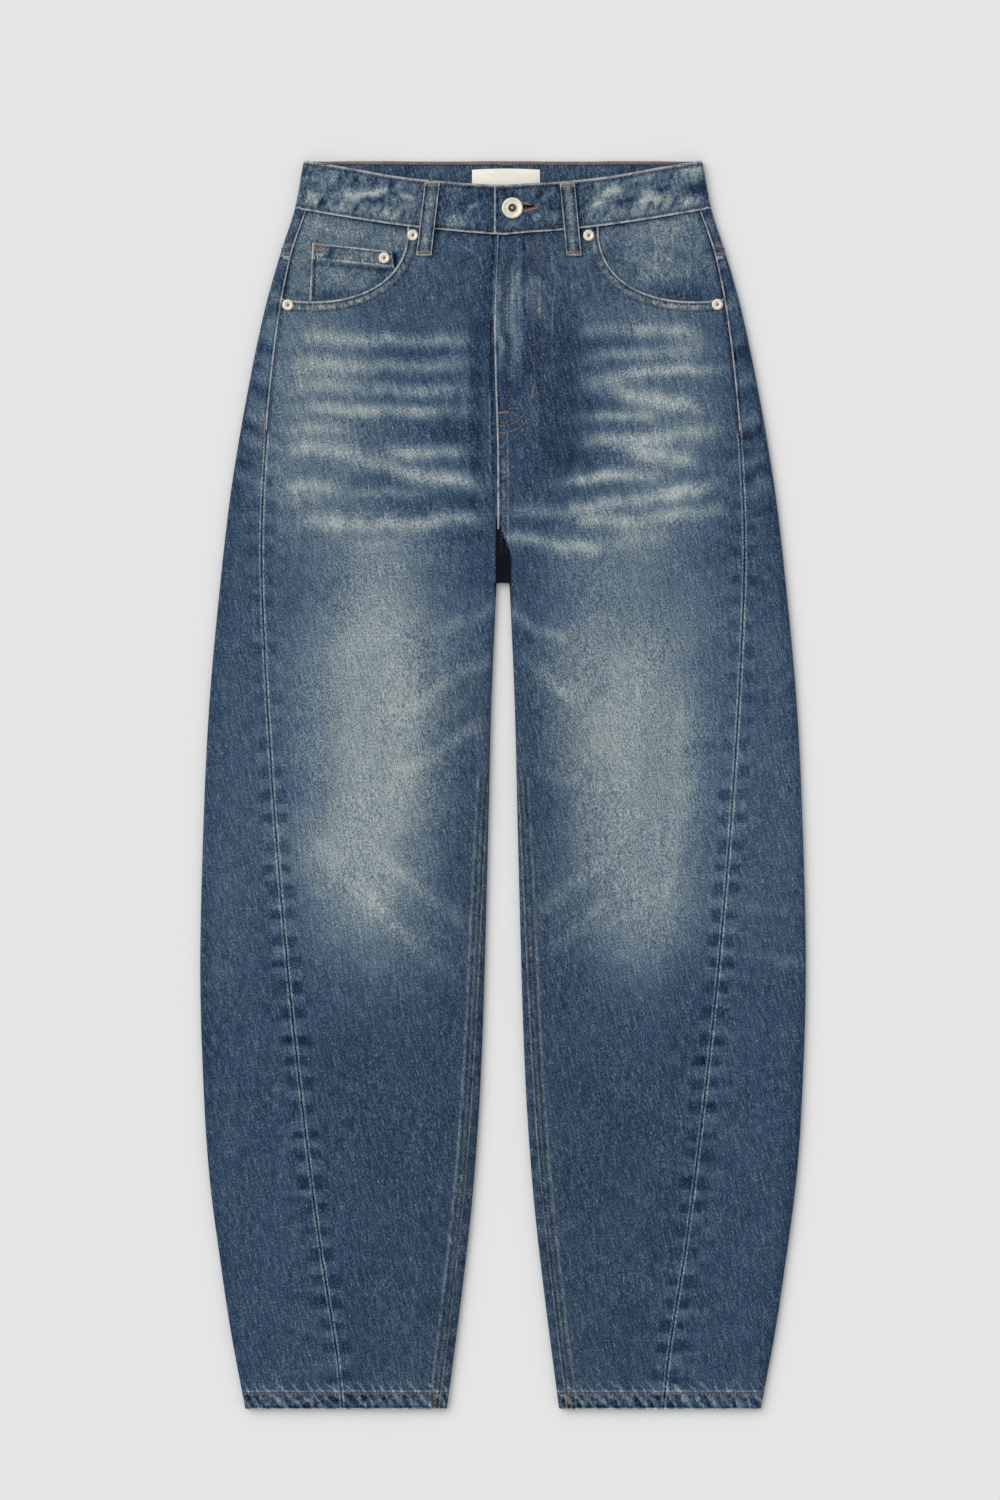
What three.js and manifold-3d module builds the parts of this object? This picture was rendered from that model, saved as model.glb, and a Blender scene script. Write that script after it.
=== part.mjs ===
// Barrel leg jeans laid flat on their back, front face up.
// Lengths are in millimetres. +X is the wearer's left, +Y runs from the hems to the waist, +Z is up.
// "down" is the distance below the top edge of the back waistband, "half" the distance from the centre line.
// A side is +1 for the wearer's left and -1 for the wearer's right.
import * as THREE from 'three';
import Module from 'manifold-3d';
import { mergeVertices } from 'three/addons/utils/BufferGeometryUtils.js';

// Driving sizes
const garmentLength = 1059;
const clothThickness = 1.5;
const seamGap = 0.3;
const legHeight = 6.8;
const bandHeight = 7.8;
const bandThickness = 2.2;
const foldReach = 5.5;
const crotchDown = 358;
const hemDepth = 13.6;
const hemThickness = 2.3;
const hemRise = 0.6;
const feltSeamWidth = 10;
const feltSeamRise = 0.6;
const feltFrom = 470;
const feltFull = 560;
const gridStep = 9;
const frontColumns = 13;
const backColumns = { outer: 13, inner: 9 };

// Crotch valley: both layers draw together between the legs
const valleyTop = 288;
const valleyShare = 0.5;

// Fly: the left front laps over the right front
const fly = { lap: 12, bottom: 231, rise: 1.9, stitchHalf: 32, fadeHalf: 52, fadeDown: 288 };

// Waistband closing: the left end laps over the right end
const bandLap = { leftEnd: -7.6, rightEnd: 20, rise: 2.5, flatTo: 24, fadeTo: 48 };
const buttonPlace = { x: 7.9, down: 41 };
const buttonSize = { radius: 9, height: 3.4, shankRadius: 2.1 };
const buttonhole = { from: 5, to: 28, width: 2.4, eyeRadius: 3 };
const rivetSize = { radius: 4.7, height: 1.5 };

// Front pocket mouth: a quarter of a rounded ellipse from the waist seam to the outseam
const mouth = { half: 165, down: 56, reachAcross: 84, reachDown: 63.5, power: 2.3, curvedShare: 0.82 };
const mouthEndRise = 2.5;
const mouthHem = 8.5;
const mouthRise = 0.5;
const facingUnder = 9;
const facingThickness = 1.1;
const facingDrop = { shallow: 0.6, left: 2.1, right: 3.3 };

// Half widths of the laid garment, read down the outer edge
const outerEdge = curve([
  { down: 0, half: 169.2 },
  { down: 42, half: 177.2 },
  { down: 75, half: 187.9 },
  { down: 126, half: 202.3 },
  { down: 202, half: 218.0 },
  { down: 279, half: 230.8 },
  { down: 355, half: 239.7 },
  { down: 457, half: 249.1 },
  { down: 559, half: 254.2 },
  { down: 687, half: 257.1 },
  { down: 789, half: 254.2 },
  { down: 865, half: 249.0 },
  { down: 942, half: 238.9 },
  { down: 993, half: 231.2 },
  { down: 1059, half: 218.9 },
]);

// Half widths of the gap between the legs
const innerEdge = curve([
  { down: 358, half: 5.5 },
  { down: 457, half: 9.8 },
  { down: 559, half: 12.3 },
  { down: 661, half: 14.9 },
  { down: 738, half: 17.2 },
  { down: 814, half: 20.9 },
  { down: 891, half: 27.0 },
  { down: 967, half: 35.7 },
  { down: 1059, half: 47.6 },
]);

// The outseam, which swings forward over the leg
const outseam = curve([
  { down: 42, half: 166.6 },
  { down: 81, half: 179.8 },
  { down: 143, half: 191.3 },
  { down: 227, half: 200.2 },
  { down: 321, half: 204.8 },
  { down: 406, half: 202.7 },
  { down: 525, half: 195.9 },
  { down: 632, half: 187.6 },
  { down: 728, half: 178.5 },
  { down: 839, half: 165.8 },
  { down: 921, half: 155.1 },
  { down: 1009, half: 141.3 },
  { down: 1059, half: 136.0 },
]);

// How far the inseam has rolled from the inner fold onto the front
const inseamRoll = curve([
  { down: 500, half: 0 },
  { down: 627, half: 2.6 },
  { down: 765, half: 5.4 },
  { down: 913, half: 6.6 },
  { down: 1059, half: 5.6 },
]);

// The centre front line, which is the edge of the fly
const centreFront = curve([
  { down: 56, half: -5.0 },
  { down: 117, half: -7.6 },
  { down: 185, half: -6.8 },
  { down: 236, half: -5.2 },
  { down: 300, half: -4.8 },
  { down: 358, half: -4.8 },
]);

// Waistband edges across the front, by distance from the centre line
const bandTopFront = curve([
  { down: 0, half: 21.3 },
  { down: 47, half: 17.9 },
  { down: 92, half: 13.2 },
  { down: 125, half: 7.3 },
  { down: 150, half: 2.8 },
  { down: 170, half: 0 },
]);
const bandBottomFront = curve([
  { down: 0, half: 63.5 },
  { down: 51, half: 58.8 },
  { down: 94, half: 54.2 },
  { down: 125, half: 49.6 },
  { down: 150, half: 45.2 },
  { down: 177, half: 40.6 },
]);
const bandDepthBack = 40;

// Yoke seam: level round the side, then dropping to the centre back
const yokeSeam = { side: 82, centre: 108, levelShare: 0.42 };

// Pieces on the underside, which the cloth above rides over
const backPocket = {
  topIn: { half: 40, down: 140 },
  topOut: { half: 170, down: 131 },
  bottomIn: { half: 51, down: 266 },
  bottomOut: { half: 165, down: 260 },
  pointDrop: 22,
  thickness: 1.25,
};
const backLoops = [
  { name: 'belt_loop_back_centre', x: 3.4 },
  { name: 'belt_loop_back_left', x: 112 },
  { name: 'belt_loop_back_right', x: -112 },
];
const backLoopSize = { width: 12.7, top: 2, bottom: 62, thickness: 1.4 };
const pocketLift = { half: 105, down: 208, reachAcross: 73, reachDown: 90, fade: 24, height: 1.7 };
const loopLift = { reachAcross: 17, reachDown: 76, fade: 20, height: 1.8 };

// The largest folds of the front, as strokes that sink in where they are negative
const folds = [
  { fromX: -160, fromDown: 176, toX: -45, toDown: 170, width: 15, rise: -0.7 },
  { fromX: -165, fromDown: 226, toX: -40, toDown: 238, width: 17, rise: -0.9 },
  { fromX: -150, fromDown: 292, toX: -30, toDown: 306, width: 18, rise: -0.8 },
  { fromX: 60, fromDown: 184, toX: 165, toDown: 176, width: 15, rise: -0.8 },
  { fromX: 50, fromDown: 250, toX: 160, toDown: 232, width: 17, rise: -0.9 },
  { fromX: 22, fromDown: 318, toX: 130, toDown: 296, width: 18, rise: -0.7 },
  { fromX: -18, fromDown: 405, toX: -95, toDown: 455, width: 20, rise: -0.9 },
  { fromX: -34, fromDown: 500, toX: -105, toDown: 548, width: 22, rise: -0.6 },
  { fromX: -130, fromDown: 600, toX: -45, toDown: 664, width: 24, rise: -0.8 },
  { fromX: 18, fromDown: 400, toX: 88, toDown: 448, width: 20, rise: -0.9 },
  { fromX: 38, fromDown: 520, toX: 110, toDown: 560, width: 22, rise: -0.5 },
  { fromX: 125, fromDown: 588, toX: 38, toDown: 652, width: 24, rise: -0.8 },
  { fromX: -140, fromDown: 800, toX: -60, toDown: 850, width: 30, rise: -0.6 },
  { fromX: 66, fromDown: 830, toX: 150, toDown: 790, width: 30, rise: -0.6 },
];

const denim = { color: 0x3f5674, roughness: 0.9, metalness: 0 };
const fadedDenim = { color: 0x7d8e9c, roughness: 0.9, metalness: 0 };
const palePatch = { color: 0xe6dfd1, roughness: 0.8, metalness: 0 };
const nickel = { color: 0xc9c1ae, roughness: 0.35, metalness: 0.9 };

// A smooth curve through the rows of a table, each slope taken from the row's two neighbours.
function curve(rows) {
  const last = rows.length - 1;
  const slopes = rows.map((row, i) => {
    const before = rows[Math.max(i - 1, 0)];
    const after = rows[Math.min(i + 1, last)];
    return (after.half - before.half) / (after.down - before.down);
  });
  return (at) => {
    if (at <= rows[0].down) return rows[0].half;
    if (at >= rows[last].down) return rows[last].half;
    const i = rows.findIndex((row) => row.down > at) - 1;
    const span = rows[i + 1].down - rows[i].down;
    const t = (at - rows[i].down) / span;
    const start = (1 + 2 * t) * (1 - t) ** 2 * rows[i].half + t * (1 - t) ** 2 * span * slopes[i];
    const end = t * t * (3 - 2 * t) * rows[i + 1].half - t * t * (1 - t) * span * slopes[i + 1];
    return start + end;
  };
}

function mix(a, b, t) {
  return a + (b - a) * t;
}

function smoothStep(from, to, value) {
  const t = Math.min(1, Math.max(0, (value - from) / (to - from)));
  return t * t * (3 - 2 * t);
}

function steps(count) {
  return Array.from({ length: count }, (_, i) => i / (count - 1));
}

// Heights of the laid cloth

// 1 inside a box with soft edges, falling to 0 over the fade around it.
function softBox(across, along, reachAcross, reachDown, fade) {
  const outside = Math.hypot(
    Math.max(0, Math.abs(across) - reachAcross),
    Math.max(0, Math.abs(along) - reachDown),
  );
  return 1 - smoothStep(0, fade, outside);
}

// How far the cloth is lifted by the pockets and loops that lie under it.
function lift(x, down) {
  const pocket = pocketLift.height * softBox(Math.abs(x) - pocketLift.half, down - pocketLift.down,
    pocketLift.reachAcross, pocketLift.reachDown, pocketLift.fade);
  const loops = backLoops.map((loop) => loopLift.height
    * softBox(x - loop.x, down, loopLift.reachAcross, loopLift.reachDown, loopLift.fade));
  return Math.max(pocket, ...loops);
}

// A quarter ellipse: 0 at the fold, 1 where the cloth lies level.
function foldRound(distance) {
  const t = Math.min(1, Math.max(0, distance / foldReach));
  return Math.sqrt(1 - (1 - t) ** 2);
}

// The share of its full height that the laid tube has here.
function fullness(half, down) {
  const outer = foldRound(outerEdge(down) - half);
  if (down >= crotchDown) return outer * foldRound(half - innerEdge(down));
  const valley = valleyShare * smoothStep(valleyTop, crotchDown, down);
  return outer * (1 - valley * (1 - foldRound(half)));
}

// Depth of the folds at a point: each stroke is soft across and runs out at its ends.
function foldRelief(x, down) {
  return folds.reduce((sum, fold) => {
    const runX = fold.toX - fold.fromX;
    const runDown = fold.toDown - fold.fromDown;
    const share = ((x - fold.fromX) * runX + (down - fold.fromDown) * runDown) / (runX ** 2 + runDown ** 2);
    const along = Math.min(1, Math.max(0, share));
    const away = Math.hypot(x - fold.fromX - along * runX, down - fold.fromDown - along * runDown);
    const body = 0.35 + 0.65 * Math.sin(Math.PI * along);
    return sum + fold.rise * body * Math.exp(-((away / fold.width) ** 2));
  }, 0);
}

// Height of the front face; the hem is raised and the folds are sunk where the cloth lies level.
function topFace(x, down, height = legHeight) {
  const full = fullness(Math.abs(x), down);
  const surface = full * (hemRise * hemShare(down) + foldRelief(x, down));
  return height / 2 * (1 + full) + lift(x, down) + surface;
}

function underFace(x, down, height = legHeight) {
  return height / 2 * (1 - fullness(Math.abs(x), down)) + lift(x, down);
}

// Rise of the left front over the right front beside the fly.
function flyRise(x, down) {
  return fly.rise
    * (1 - smoothStep(fly.stitchHalf, fly.fadeHalf, x))
    * (1 - smoothStep(fly.bottom + 9, fly.fadeDown, down));
}

function bandRise(x) {
  return bandLap.rise * (1 - smoothStep(bandLap.flatTo, bandLap.fadeTo, x));
}

function hemShare(down) {
  return down > garmentLength - hemDepth - 0.01 ? 1 : 0;
}

function wallAt(down) {
  return mix(clothThickness, hemThickness, hemShare(down));
}

// Section lines: points [half, down, z] along the outside, each followed by its point on the inside

// Points spread evenly by length plus turning, so that a fold gets more of them.
function spaced(line, count) {
  const turnWeight = 11;
  const direction = (i) => new THREE.Vector3(...line[i + 1]).sub(new THREE.Vector3(...line[i]));
  const reached = [0];
  for (let i = 1; i < line.length; i++) {
    const here = direction(i - 1);
    const turn = i > 1 ? direction(i - 2).angleTo(here) : 0;
    reached.push(reached[i - 1] + here.length() + turnWeight * turn);
  }
  const total = reached[reached.length - 1];
  return steps(count).map((share) => {
    const at = share * total;
    let i = 1;
    while (i < line.length - 1 && reached[i] < at) i++;
    const t = (at - reached[i - 1]) / (reached[i] - reached[i - 1]);
    return line[i].map((value, axis) => mix(line[i - 1][axis], value, t));
  });
}

function level(from, to, point) {
  const count = Math.max(2, Math.ceil(Math.abs(to - from) / gridStep) + 1);
  return steps(count).map((t) => point(mix(from, to, t)));
}

// Fold points from one angle to another, 90 degrees being the top and -90 the underside.
function foldLine(side, edge, towards, down, fromAngle, toAngle, height = legHeight) {
  const stepAngle = 5;
  const count = Math.max(2, Math.ceil(Math.abs(toAngle - fromAngle) / stepAngle) + 1);
  return steps(count).map((t) => {
    const angle = THREE.MathUtils.degToRad(mix(fromAngle, toAngle, t));
    const half = edge + towards * foldReach * (1 - Math.cos(angle));
    const face = angle >= 0 ? topFace : underFace;
    return [half, down, face(side * half, down, height)];
  });
}

function angleAt(distance) {
  return THREE.MathUtils.radToDeg(Math.acos(1 - Math.min(1, distance / foldReach)));
}

// Adds the inside point to each point of a line, moved in across the section by the wall's thickness.
function walled(line, thickness) {
  return line.map((point, i) => {
    const a = line[Math.max(i - 1, 0)];
    const b = line[Math.min(i + 1, line.length - 1)];
    const run = Math.hypot(b[0] - a[0], b[2] - a[2]);
    const [half, down, z] = point;
    return [half, down, z, half + thickness * (b[2] - a[2]) / run, down, z - thickness * (b[0] - a[0]) / run];
  });
}

function splitLayers(points) {
  return { outer: points.map((point) => point.slice(0, 3)), inner: points.map((point) => point.slice(3)) };
}

// Cuts a wall's edge square to the inner fold, so that both panels have parallel edges at the inseam.
function squaredEdge([half, down, z], angle, thickness) {
  const radians = THREE.MathUtils.degToRad(angle);
  const across = Math.cos(radians) / foldReach;
  const upward = Math.sin(radians) / (legHeight / 2);
  const run = Math.hypot(across, upward);
  return [half, down, z, half + thickness * across / run, down, z - thickness * upward / run];
}

// The inseam's place on the inner fold, as an angle or a distance, kept half a gap away on either side.
function inseamAngle(down, towards) {
  const halfGap = 2.4;
  return angleAt(inseamRoll(down)) + towards * halfGap;
}

function inseamHalf(down, towards) {
  return innerEdge(down) + inseamRoll(down) + towards * seamGap / 2;
}

// Back section: from the outseam over the outer fold and along the underside to the centre back or the inseam.
function backSection(side, down) {
  const outer = outerEdge(down);
  const start = outseam(down) + seamGap / 2;
  const inner = down >= crotchDown ? innerEdge(down) : 0;
  const middle = (outer + inner) / 2;
  const top = (half) => [half, down, topFace(side * half, down)];
  const under = (half) => [half, down, underFace(side * half, down)];
  const foldStart = outer - foldReach;
  const strip = start < foldStart - 0.5 ? level(start, foldStart, top).slice(0, -1) : [];
  const fold = foldLine(side, outer, -1, down, strip.length ? 90 : angleAt(outer - start), -90);
  const outerPart = [...strip, ...fold, ...level(foldStart, middle, under).slice(1)];
  let innerPart = level(middle, seamGap / 2, under);
  if (down >= crotchDown) {
    const onTop = inseamRoll(down) > foldReach + seamGap;
    innerPart = [
      ...level(middle, inner + foldReach, under),
      ...foldLine(side, inner, 1, down, -90, onTop ? 90 : inseamAngle(down, -1)).slice(1),
      ...(onTop ? [top(inseamHalf(down, -1))] : []),
    ];
  }
  const whole = walled([...outerPart, ...innerPart.slice(1)], wallAt(down));
  if (down >= crotchDown) {
    whole.push(squaredEdge(whole.pop(), angleAt(inseamRoll(down)), wallAt(down)));
  }
  const outerPoints = spaced(whole.slice(0, outerPart.length), backColumns.outer);
  const innerPoints = spaced(whole.slice(outerPart.length - 1), backColumns.inner);
  return splitLayers([...outerPoints, ...innerPoints.slice(1)]);
}

// Front section: from the centre front or the inseam over the top to the outseam.
function frontSection(side, down) {
  const end = outseam(down) - seamGap / 2;
  const rise = (x) => (side > 0 ? flyRise(x, down) : 0);
  const top = (half) => [half, down, topFace(side * half, down) + rise(side * half)];
  const inner = innerEdge(down);
  let line;
  if (down < crotchDown) {
    line = level(frontStart(side, down), end, top);
  } else if (inseamRoll(down) > foldReach - seamGap) {
    line = level(Math.max(inseamHalf(down, 1), inner + foldReach), end, top);
  } else {
    const fold = foldLine(side, inner, 1, down, inseamAngle(down, 1), 90);
    line = [...fold, ...level(inner + foldReach, end, top).slice(1)];
  }
  const whole = walled(line, wallAt(down));
  if (down >= crotchDown) whole[0] = squaredEdge(whole[0], angleAt(inseamRoll(down)), wallAt(down));
  const seamBand = spaced(cutLine(whole, 0, feltSeamWidth), 3);
  const felt = down >= crotchDown ? feltSeamRise * smoothStep(feltFrom, feltFull, down) : 0;
  for (const point of seamBand) point[2] += felt;
  return splitLayers([...seamBand, ...spaced(cutLine(whole, feltSeamWidth + 1.5, Infinity), frontColumns)]);
}

// Where a front panel starts at the centre: the left one at the fly's edge, the right one lapped under it.
function frontStart(side, down) {
  if (side > 0) return centreFront(down) + seamGap / 2;
  const lap = down < fly.bottom + 4 ? fly.lap : -seamGap / 2;
  return -centreFront(down) - lap;
}

// The stretch of a line between two lengths along it.
function cutLine(line, from, to) {
  const kept = [];
  let reached = 0;
  for (let i = 1; i < line.length; i++) {
    const a = line[i - 1];
    const b = line[i];
    const span = Math.hypot(b[0] - a[0], b[1] - a[1], b[2] - a[2]);
    const at = (length) => a.map((value, axis) => mix(value, b[axis], (length - reached) / span));
    if (from >= reached && from < reached + span) kept.push(at(from));
    if (reached + span > from && reached + span < to) kept.push(b);
    if (to > reached && to <= reached + span) kept.push(at(to));
    reached += span;
  }
  return kept;
}

function lowered(grid, thickness) {
  return grid.map((row) => row.map(([x, down, z]) => [x, down, z - thickness]));
}

// Closed geometry

function place([half, down, z], side) {
  return [side * half, garmentLength / 2 - down, z];
}

// A wall between two grids of the same size, closed along its four edges.
function wallGeometry(outer, inner, side = 1) {
  const rows = outer.length;
  const columns = outer[0].length;
  const vertices = [...outer.flat(), ...inner.flat()].flatMap((point) => place(point, side));
  const index = [];
  const quad = (a, b, c, d) => index.push(a, b, c, a, c, d);
  const at = (row, column, layer) => layer * rows * columns + row * columns + column;
  for (let r = 0; r + 1 < rows; r++) {
    for (let c = 0; c + 1 < columns; c++) {
      quad(at(r, c, 0), at(r + 1, c, 0), at(r + 1, c + 1, 0), at(r, c + 1, 0));
      quad(at(r, c, 1), at(r, c + 1, 1), at(r + 1, c + 1, 1), at(r + 1, c, 1));
    }
    quad(at(r, 0, 0), at(r, 0, 1), at(r + 1, 0, 1), at(r + 1, 0, 0));
    quad(at(r, columns - 1, 0), at(r + 1, columns - 1, 0), at(r + 1, columns - 1, 1), at(r, columns - 1, 1));
  }
  for (let c = 0; c + 1 < columns; c++) {
    quad(at(0, c, 0), at(0, c + 1, 0), at(0, c + 1, 1), at(0, c, 1));
    quad(at(rows - 1, c, 0), at(rows - 1, c, 1), at(rows - 1, c + 1, 1), at(rows - 1, c + 1, 0));
  }
  const geometry = new THREE.BufferGeometry();
  geometry.setAttribute('position', new THREE.Float32BufferAttribute(vertices, 3));
  geometry.setIndex(index);
  return facingOut(geometry);
}

// Turns every face round where the solid's signed volume is negative.
function facingOut(geometry) {
  const position = geometry.getAttribute('position');
  const index = geometry.getIndex().array;
  const corner = (i) => new THREE.Vector3().fromBufferAttribute(position, index[i]);
  let volume = 0;
  for (let i = 0; i < index.length; i += 3) {
    volume += corner(i).dot(corner(i + 1).cross(corner(i + 2)));
  }
  if (volume < 0) {
    for (let i = 0; i < index.length; i += 3) {
      const kept = index[i + 1];
      index[i + 1] = index[i + 2];
      index[i + 2] = kept;
    }
  }
  geometry.computeVertexNormals();
  return geometry;
}

function toManifold(wasm, geometry) {
  const bare = geometry.clone();
  bare.deleteAttribute('normal');
  bare.deleteAttribute('uv');
  const merged = mergeVertices(bare, 1e-4);
  const vertProperties = new Float32Array(merged.getAttribute('position').array);
  const triVerts = new Uint32Array(merged.getIndex().array);
  return new wasm.Manifold(new wasm.Mesh({ numProp: 3, vertProperties, triVerts }));
}

function fromManifold(solid) {
  const mesh = solid.getMesh();
  const geometry = new THREE.BufferGeometry();
  geometry.setAttribute('position', new THREE.BufferAttribute(mesh.vertProperties, 3));
  geometry.setIndex(new THREE.BufferAttribute(mesh.triVerts, 1));
  geometry.computeVertexNormals();
  return geometry;
}

// Front pocket mouth

// A point [half, down] on the mouth, from the waist seam at 0 to the outseam at 1, moved out by a distance.
function mouthPoint(share, out = 0) {
  const exact = (t) => {
    if (t <= mouth.curvedShare) {
      const angle = t / mouth.curvedShare * Math.PI / 2;
      const across = Math.cos(angle) ** (2 / mouth.power);
      const deep = Math.sin(angle) ** (2 / mouth.power);
      return [mouth.half - mouth.reachAcross * across, mouth.down + mouth.reachDown * deep];
    }
    const past = (t - mouth.curvedShare) / (1 - mouth.curvedShare);
    const deepest = mouth.down + mouth.reachDown;
    return [mix(mouth.half, outseam(deepest), past), deepest - mouthEndRise * past ** 2];
  };
  const [half, down] = exact(share);
  if (out === 0) return [half, down];
  const a = exact(Math.max(0, share - 0.02));
  const b = exact(Math.min(1, share + 0.02));
  const run = Math.hypot(b[0] - a[0], b[1] - a[1]);
  return [half - out * (b[1] - a[1]) / run, down + out * (b[0] - a[0]) / run];
}

// 1 on the mouth and beyond it, 0 deep inside the opening.
function mouthLevel(half, down) {
  const across = Math.max(0, (mouth.half - half) / mouth.reachAcross);
  const deep = Math.max(0, (down - mouth.down) / mouth.reachDown);
  return Math.min(1, (across ** mouth.power + deep ** mouth.power) ** (1 / mouth.power));
}

function facingFace(side, half, down) {
  const deepest = side > 0 ? facingDrop.left : facingDrop.right;
  const drop = mix(facingDrop.shallow, deepest, smoothStep(0.1, 0.86, mouthLevel(half, down)));
  return topFace(side * half, down) - drop;
}

// Pieces

const legRows = [150, 180, 206, 228, 240, 262, 286, 308, 328, 344, 357.9, 358.1, 368, 386, 412, 450, 500, 560, 620,
  680, 740, 800, 860, 915, 965, 1010, 1043.9, 1045.4, 1059];
const panelTopRow = 138;

function frontPanel(side) {
  const levelRow = frontSection(side, panelTopRow).outer;
  const last = levelRow.length - 1;
  const corner = 7;
  const mouthStart = mouth.half - mouth.reachAcross;
  const waistPoint = (i) => {
    const share = (levelRow[i][0] - levelRow[0][0]) / (levelRow[corner][0] - levelRow[0][0]);
    const half = mix(frontStart(side, mouth.down), mouthStart, share);
    return [half, bandBottomFront(Math.abs(half)) + seamGap];
  };
  const onSeam = ([half, down], i) => {
    const seam = outseam(down) - seamGap / 2;
    return [i === last ? seam : Math.min(half, seam - last + i), down];
  };
  const topEdge = levelRow.map((_, i) => (
    onSeam(i <= corner ? waistPoint(i) : mouthPoint((i - corner) / (last - corner)), i)));
  const hemEdge = levelRow.map((_, i) => {
    if (i > corner) return onSeam(mouthPoint((i - corner) / (last - corner), mouthHem), i);
    const [half, down] = waistPoint(i);
    return i === corner ? [half - mouthHem * 0.7, down + mouthHem * 0.7] : [half, down + mouthHem];
  });
  const between = (t) => hemEdge.map(([half, down], i) => (
    onSeam([mix(half, levelRow[i][0], t), mix(down, panelTopRow, t)], i)));
  const shaped = (points) => points.map(([half, down]) => {
    const x = side * half;
    return [half, down, topFace(x, down) + (side > 0 ? flyRise(x, down) : 0)];
  });
  const outer = [topEdge, hemEdge, ...[0.12, 0.4, 0.7, 1].map(between)].map(shaped);
  const inner = lowered(outer, clothThickness);
  for (const row of outer.slice(0, 2)) {
    for (const point of row.slice(corner)) point[2] += mouthRise;
  }
  for (const down of legRows) {
    const section = frontSection(side, down);
    outer.push(section.outer);
    inner.push(section.inner);
  }
  return wallGeometry(outer, inner, side);
}

// A back piece between two seams: for a share of the way round the section, the rows give each "down".
function backPiece(side, rows) {
  const columns = backSection(side, legRows[0]).outer.length;
  const sections = new Map();
  const sectionAt = (down) => {
    if (!sections.has(down)) sections.set(down, backSection(side, down));
    return sections.get(down);
  };
  const table = steps(columns).map(rows);
  const grid = (layer) => table[0].map((_, r) => table.map((downs, c) => sectionAt(downs[r])[layer][c]));
  return wallGeometry(grid('outer'), grid('inner'), side);
}

function yokeSeamAt(share) {
  return mix(yokeSeam.side, yokeSeam.centre, smoothStep(yokeSeam.levelShare - 0.2, 1.15, share));
}

function backPanel(side) {
  return backPiece(side, (share) => {
    const top = yokeSeamAt(share) + seamGap;
    return [...[0, 0.3, 0.65].map((t) => mix(top, legRows[0], t)), ...legRows];
  });
}

function yoke(side) {
  const frontTop = bandBottomFront(outseam(bandDepthBack)) + seamGap;
  const foldTop = bandBottomFront(outerEdge(bandDepthBack)) + seamGap;
  return backPiece(side, (share) => {
    const sideTop = mix(frontTop, foldTop, smoothStep(0, 0.08, share));
    const top = mix(sideTop, bandDepthBack + seamGap, smoothStep(0.1, 0.4, share));
    return [0, 0.33, 0.66, 1].map((t) => mix(top, yokeSeamAt(share), t));
  });
}

// Half a waistband: from the centre front over the top, round the side fold and along the underside.
function waistbandHalf(side) {
  const start = side > 0 ? bandLap.leftEnd : -bandLap.rightEnd;
  const rows = steps(3).map((share) => {
    const sideDown = bandBottomFront(outerEdge(bandDepthBack)) * share;
    const edge = outerEdge(sideDown);
    const top = (half) => {
      const x = side * half;
      const down = mix(bandTopFront(Math.abs(half)), bandBottomFront(Math.abs(half)), share);
      return [half, down, topFace(x, down, bandHeight) + (side > 0 ? bandRise(x) : 0)];
    };
    const under = (half) => {
      const down = mix(sideDown, bandDepthBack * share, smoothStep(0, 30, edge - foldReach - half));
      return [half, down, underFace(side * half, down, bandHeight)];
    };
    const front = level(start, edge - foldReach, top);
    const fold = foldLine(side, edge, -1, sideDown, 90, -90, bandHeight).slice(1);
    const back = level(edge - foldReach, seamGap / 2, under).slice(1);
    const whole = walled([...front, ...fold, ...back], bandThickness);
    const turn = front.length + Math.floor(fold.length / 2);
    return splitLayers([...spaced(whole.slice(0, turn + 1), 18), ...spaced(whole.slice(turn), 12).slice(1)]);
  });
  return wallGeometry(rows.map((row) => row.outer), rows.map((row) => row.inner), side);
}

// The buttonhole is cut through the lapping end.
function cutButtonhole(wasm, geometry) {
  const y = garmentLength / 2 - buttonPlace.down;
  const cutterDepth = 12;
  const outline = new THREE.Shape();
  const neckAngle = Math.asin(buttonhole.width / 2 / buttonhole.eyeRadius);
  outline.absarc(buttonPlace.x, y, buttonhole.eyeRadius, neckAngle, 2 * Math.PI - neckAngle, false);
  outline.lineTo(buttonhole.to, y - buttonhole.width / 2);
  outline.lineTo(buttonhole.to, y + buttonhole.width / 2);
  outline.closePath();
  const cutter = new THREE.ExtrudeGeometry(outline, { depth: cutterDepth, bevelEnabled: false, curveSegments: 6 });
  cutter.translate(0, 0, bandHeight);
  return fromManifold(toManifold(wasm, geometry).subtract(toManifold(wasm, cutter)));
}

// The denim seen inside the pocket mouth. Its columns run from the waist seam, across the line of the coin
// pocket's opening, to just under the front panel; "share" is the place along the mouth.
const facingColumns = [
  { share: 0.12, seamHalf: 72, openingHalf: 73, openingDown: 78 },
  { share: 0.34, seamHalf: 91, openingHalf: 94.6, openingDown: 76.9 },
  { share: 0.82, seamHalf: 154, openingHalf: 161.6, openingDown: 69.7 },
  { share: 1, seamHalf: 167, openingHalf: 176, openingDown: 68.4 },
];
const facingShares = [0.12, 0.23, 0.34, 0.42, 0.5, 0.58, 0.66, 0.74, 0.82, 0.91, 1];
const facingRows = [0.25, 0.5, 0.75, 0.9, 1];
const coinPocket = { side: -1, fromColumn: 2, toColumn: 8, fromRow: 1, toRow: 5, thickness: 1.1 };

function facingColumn(share) {
  const i = Math.max(1, facingColumns.findIndex((column) => column.share >= share));
  const a = facingColumns[i - 1];
  const b = facingColumns[i];
  const t = (share - a.share) / (b.share - a.share);
  const at = (field) => mix(a[field], b[field], t);
  return { seamHalf: at('seamHalf'), openingHalf: at('openingHalf'), openingDown: at('openingDown') };
}

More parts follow.
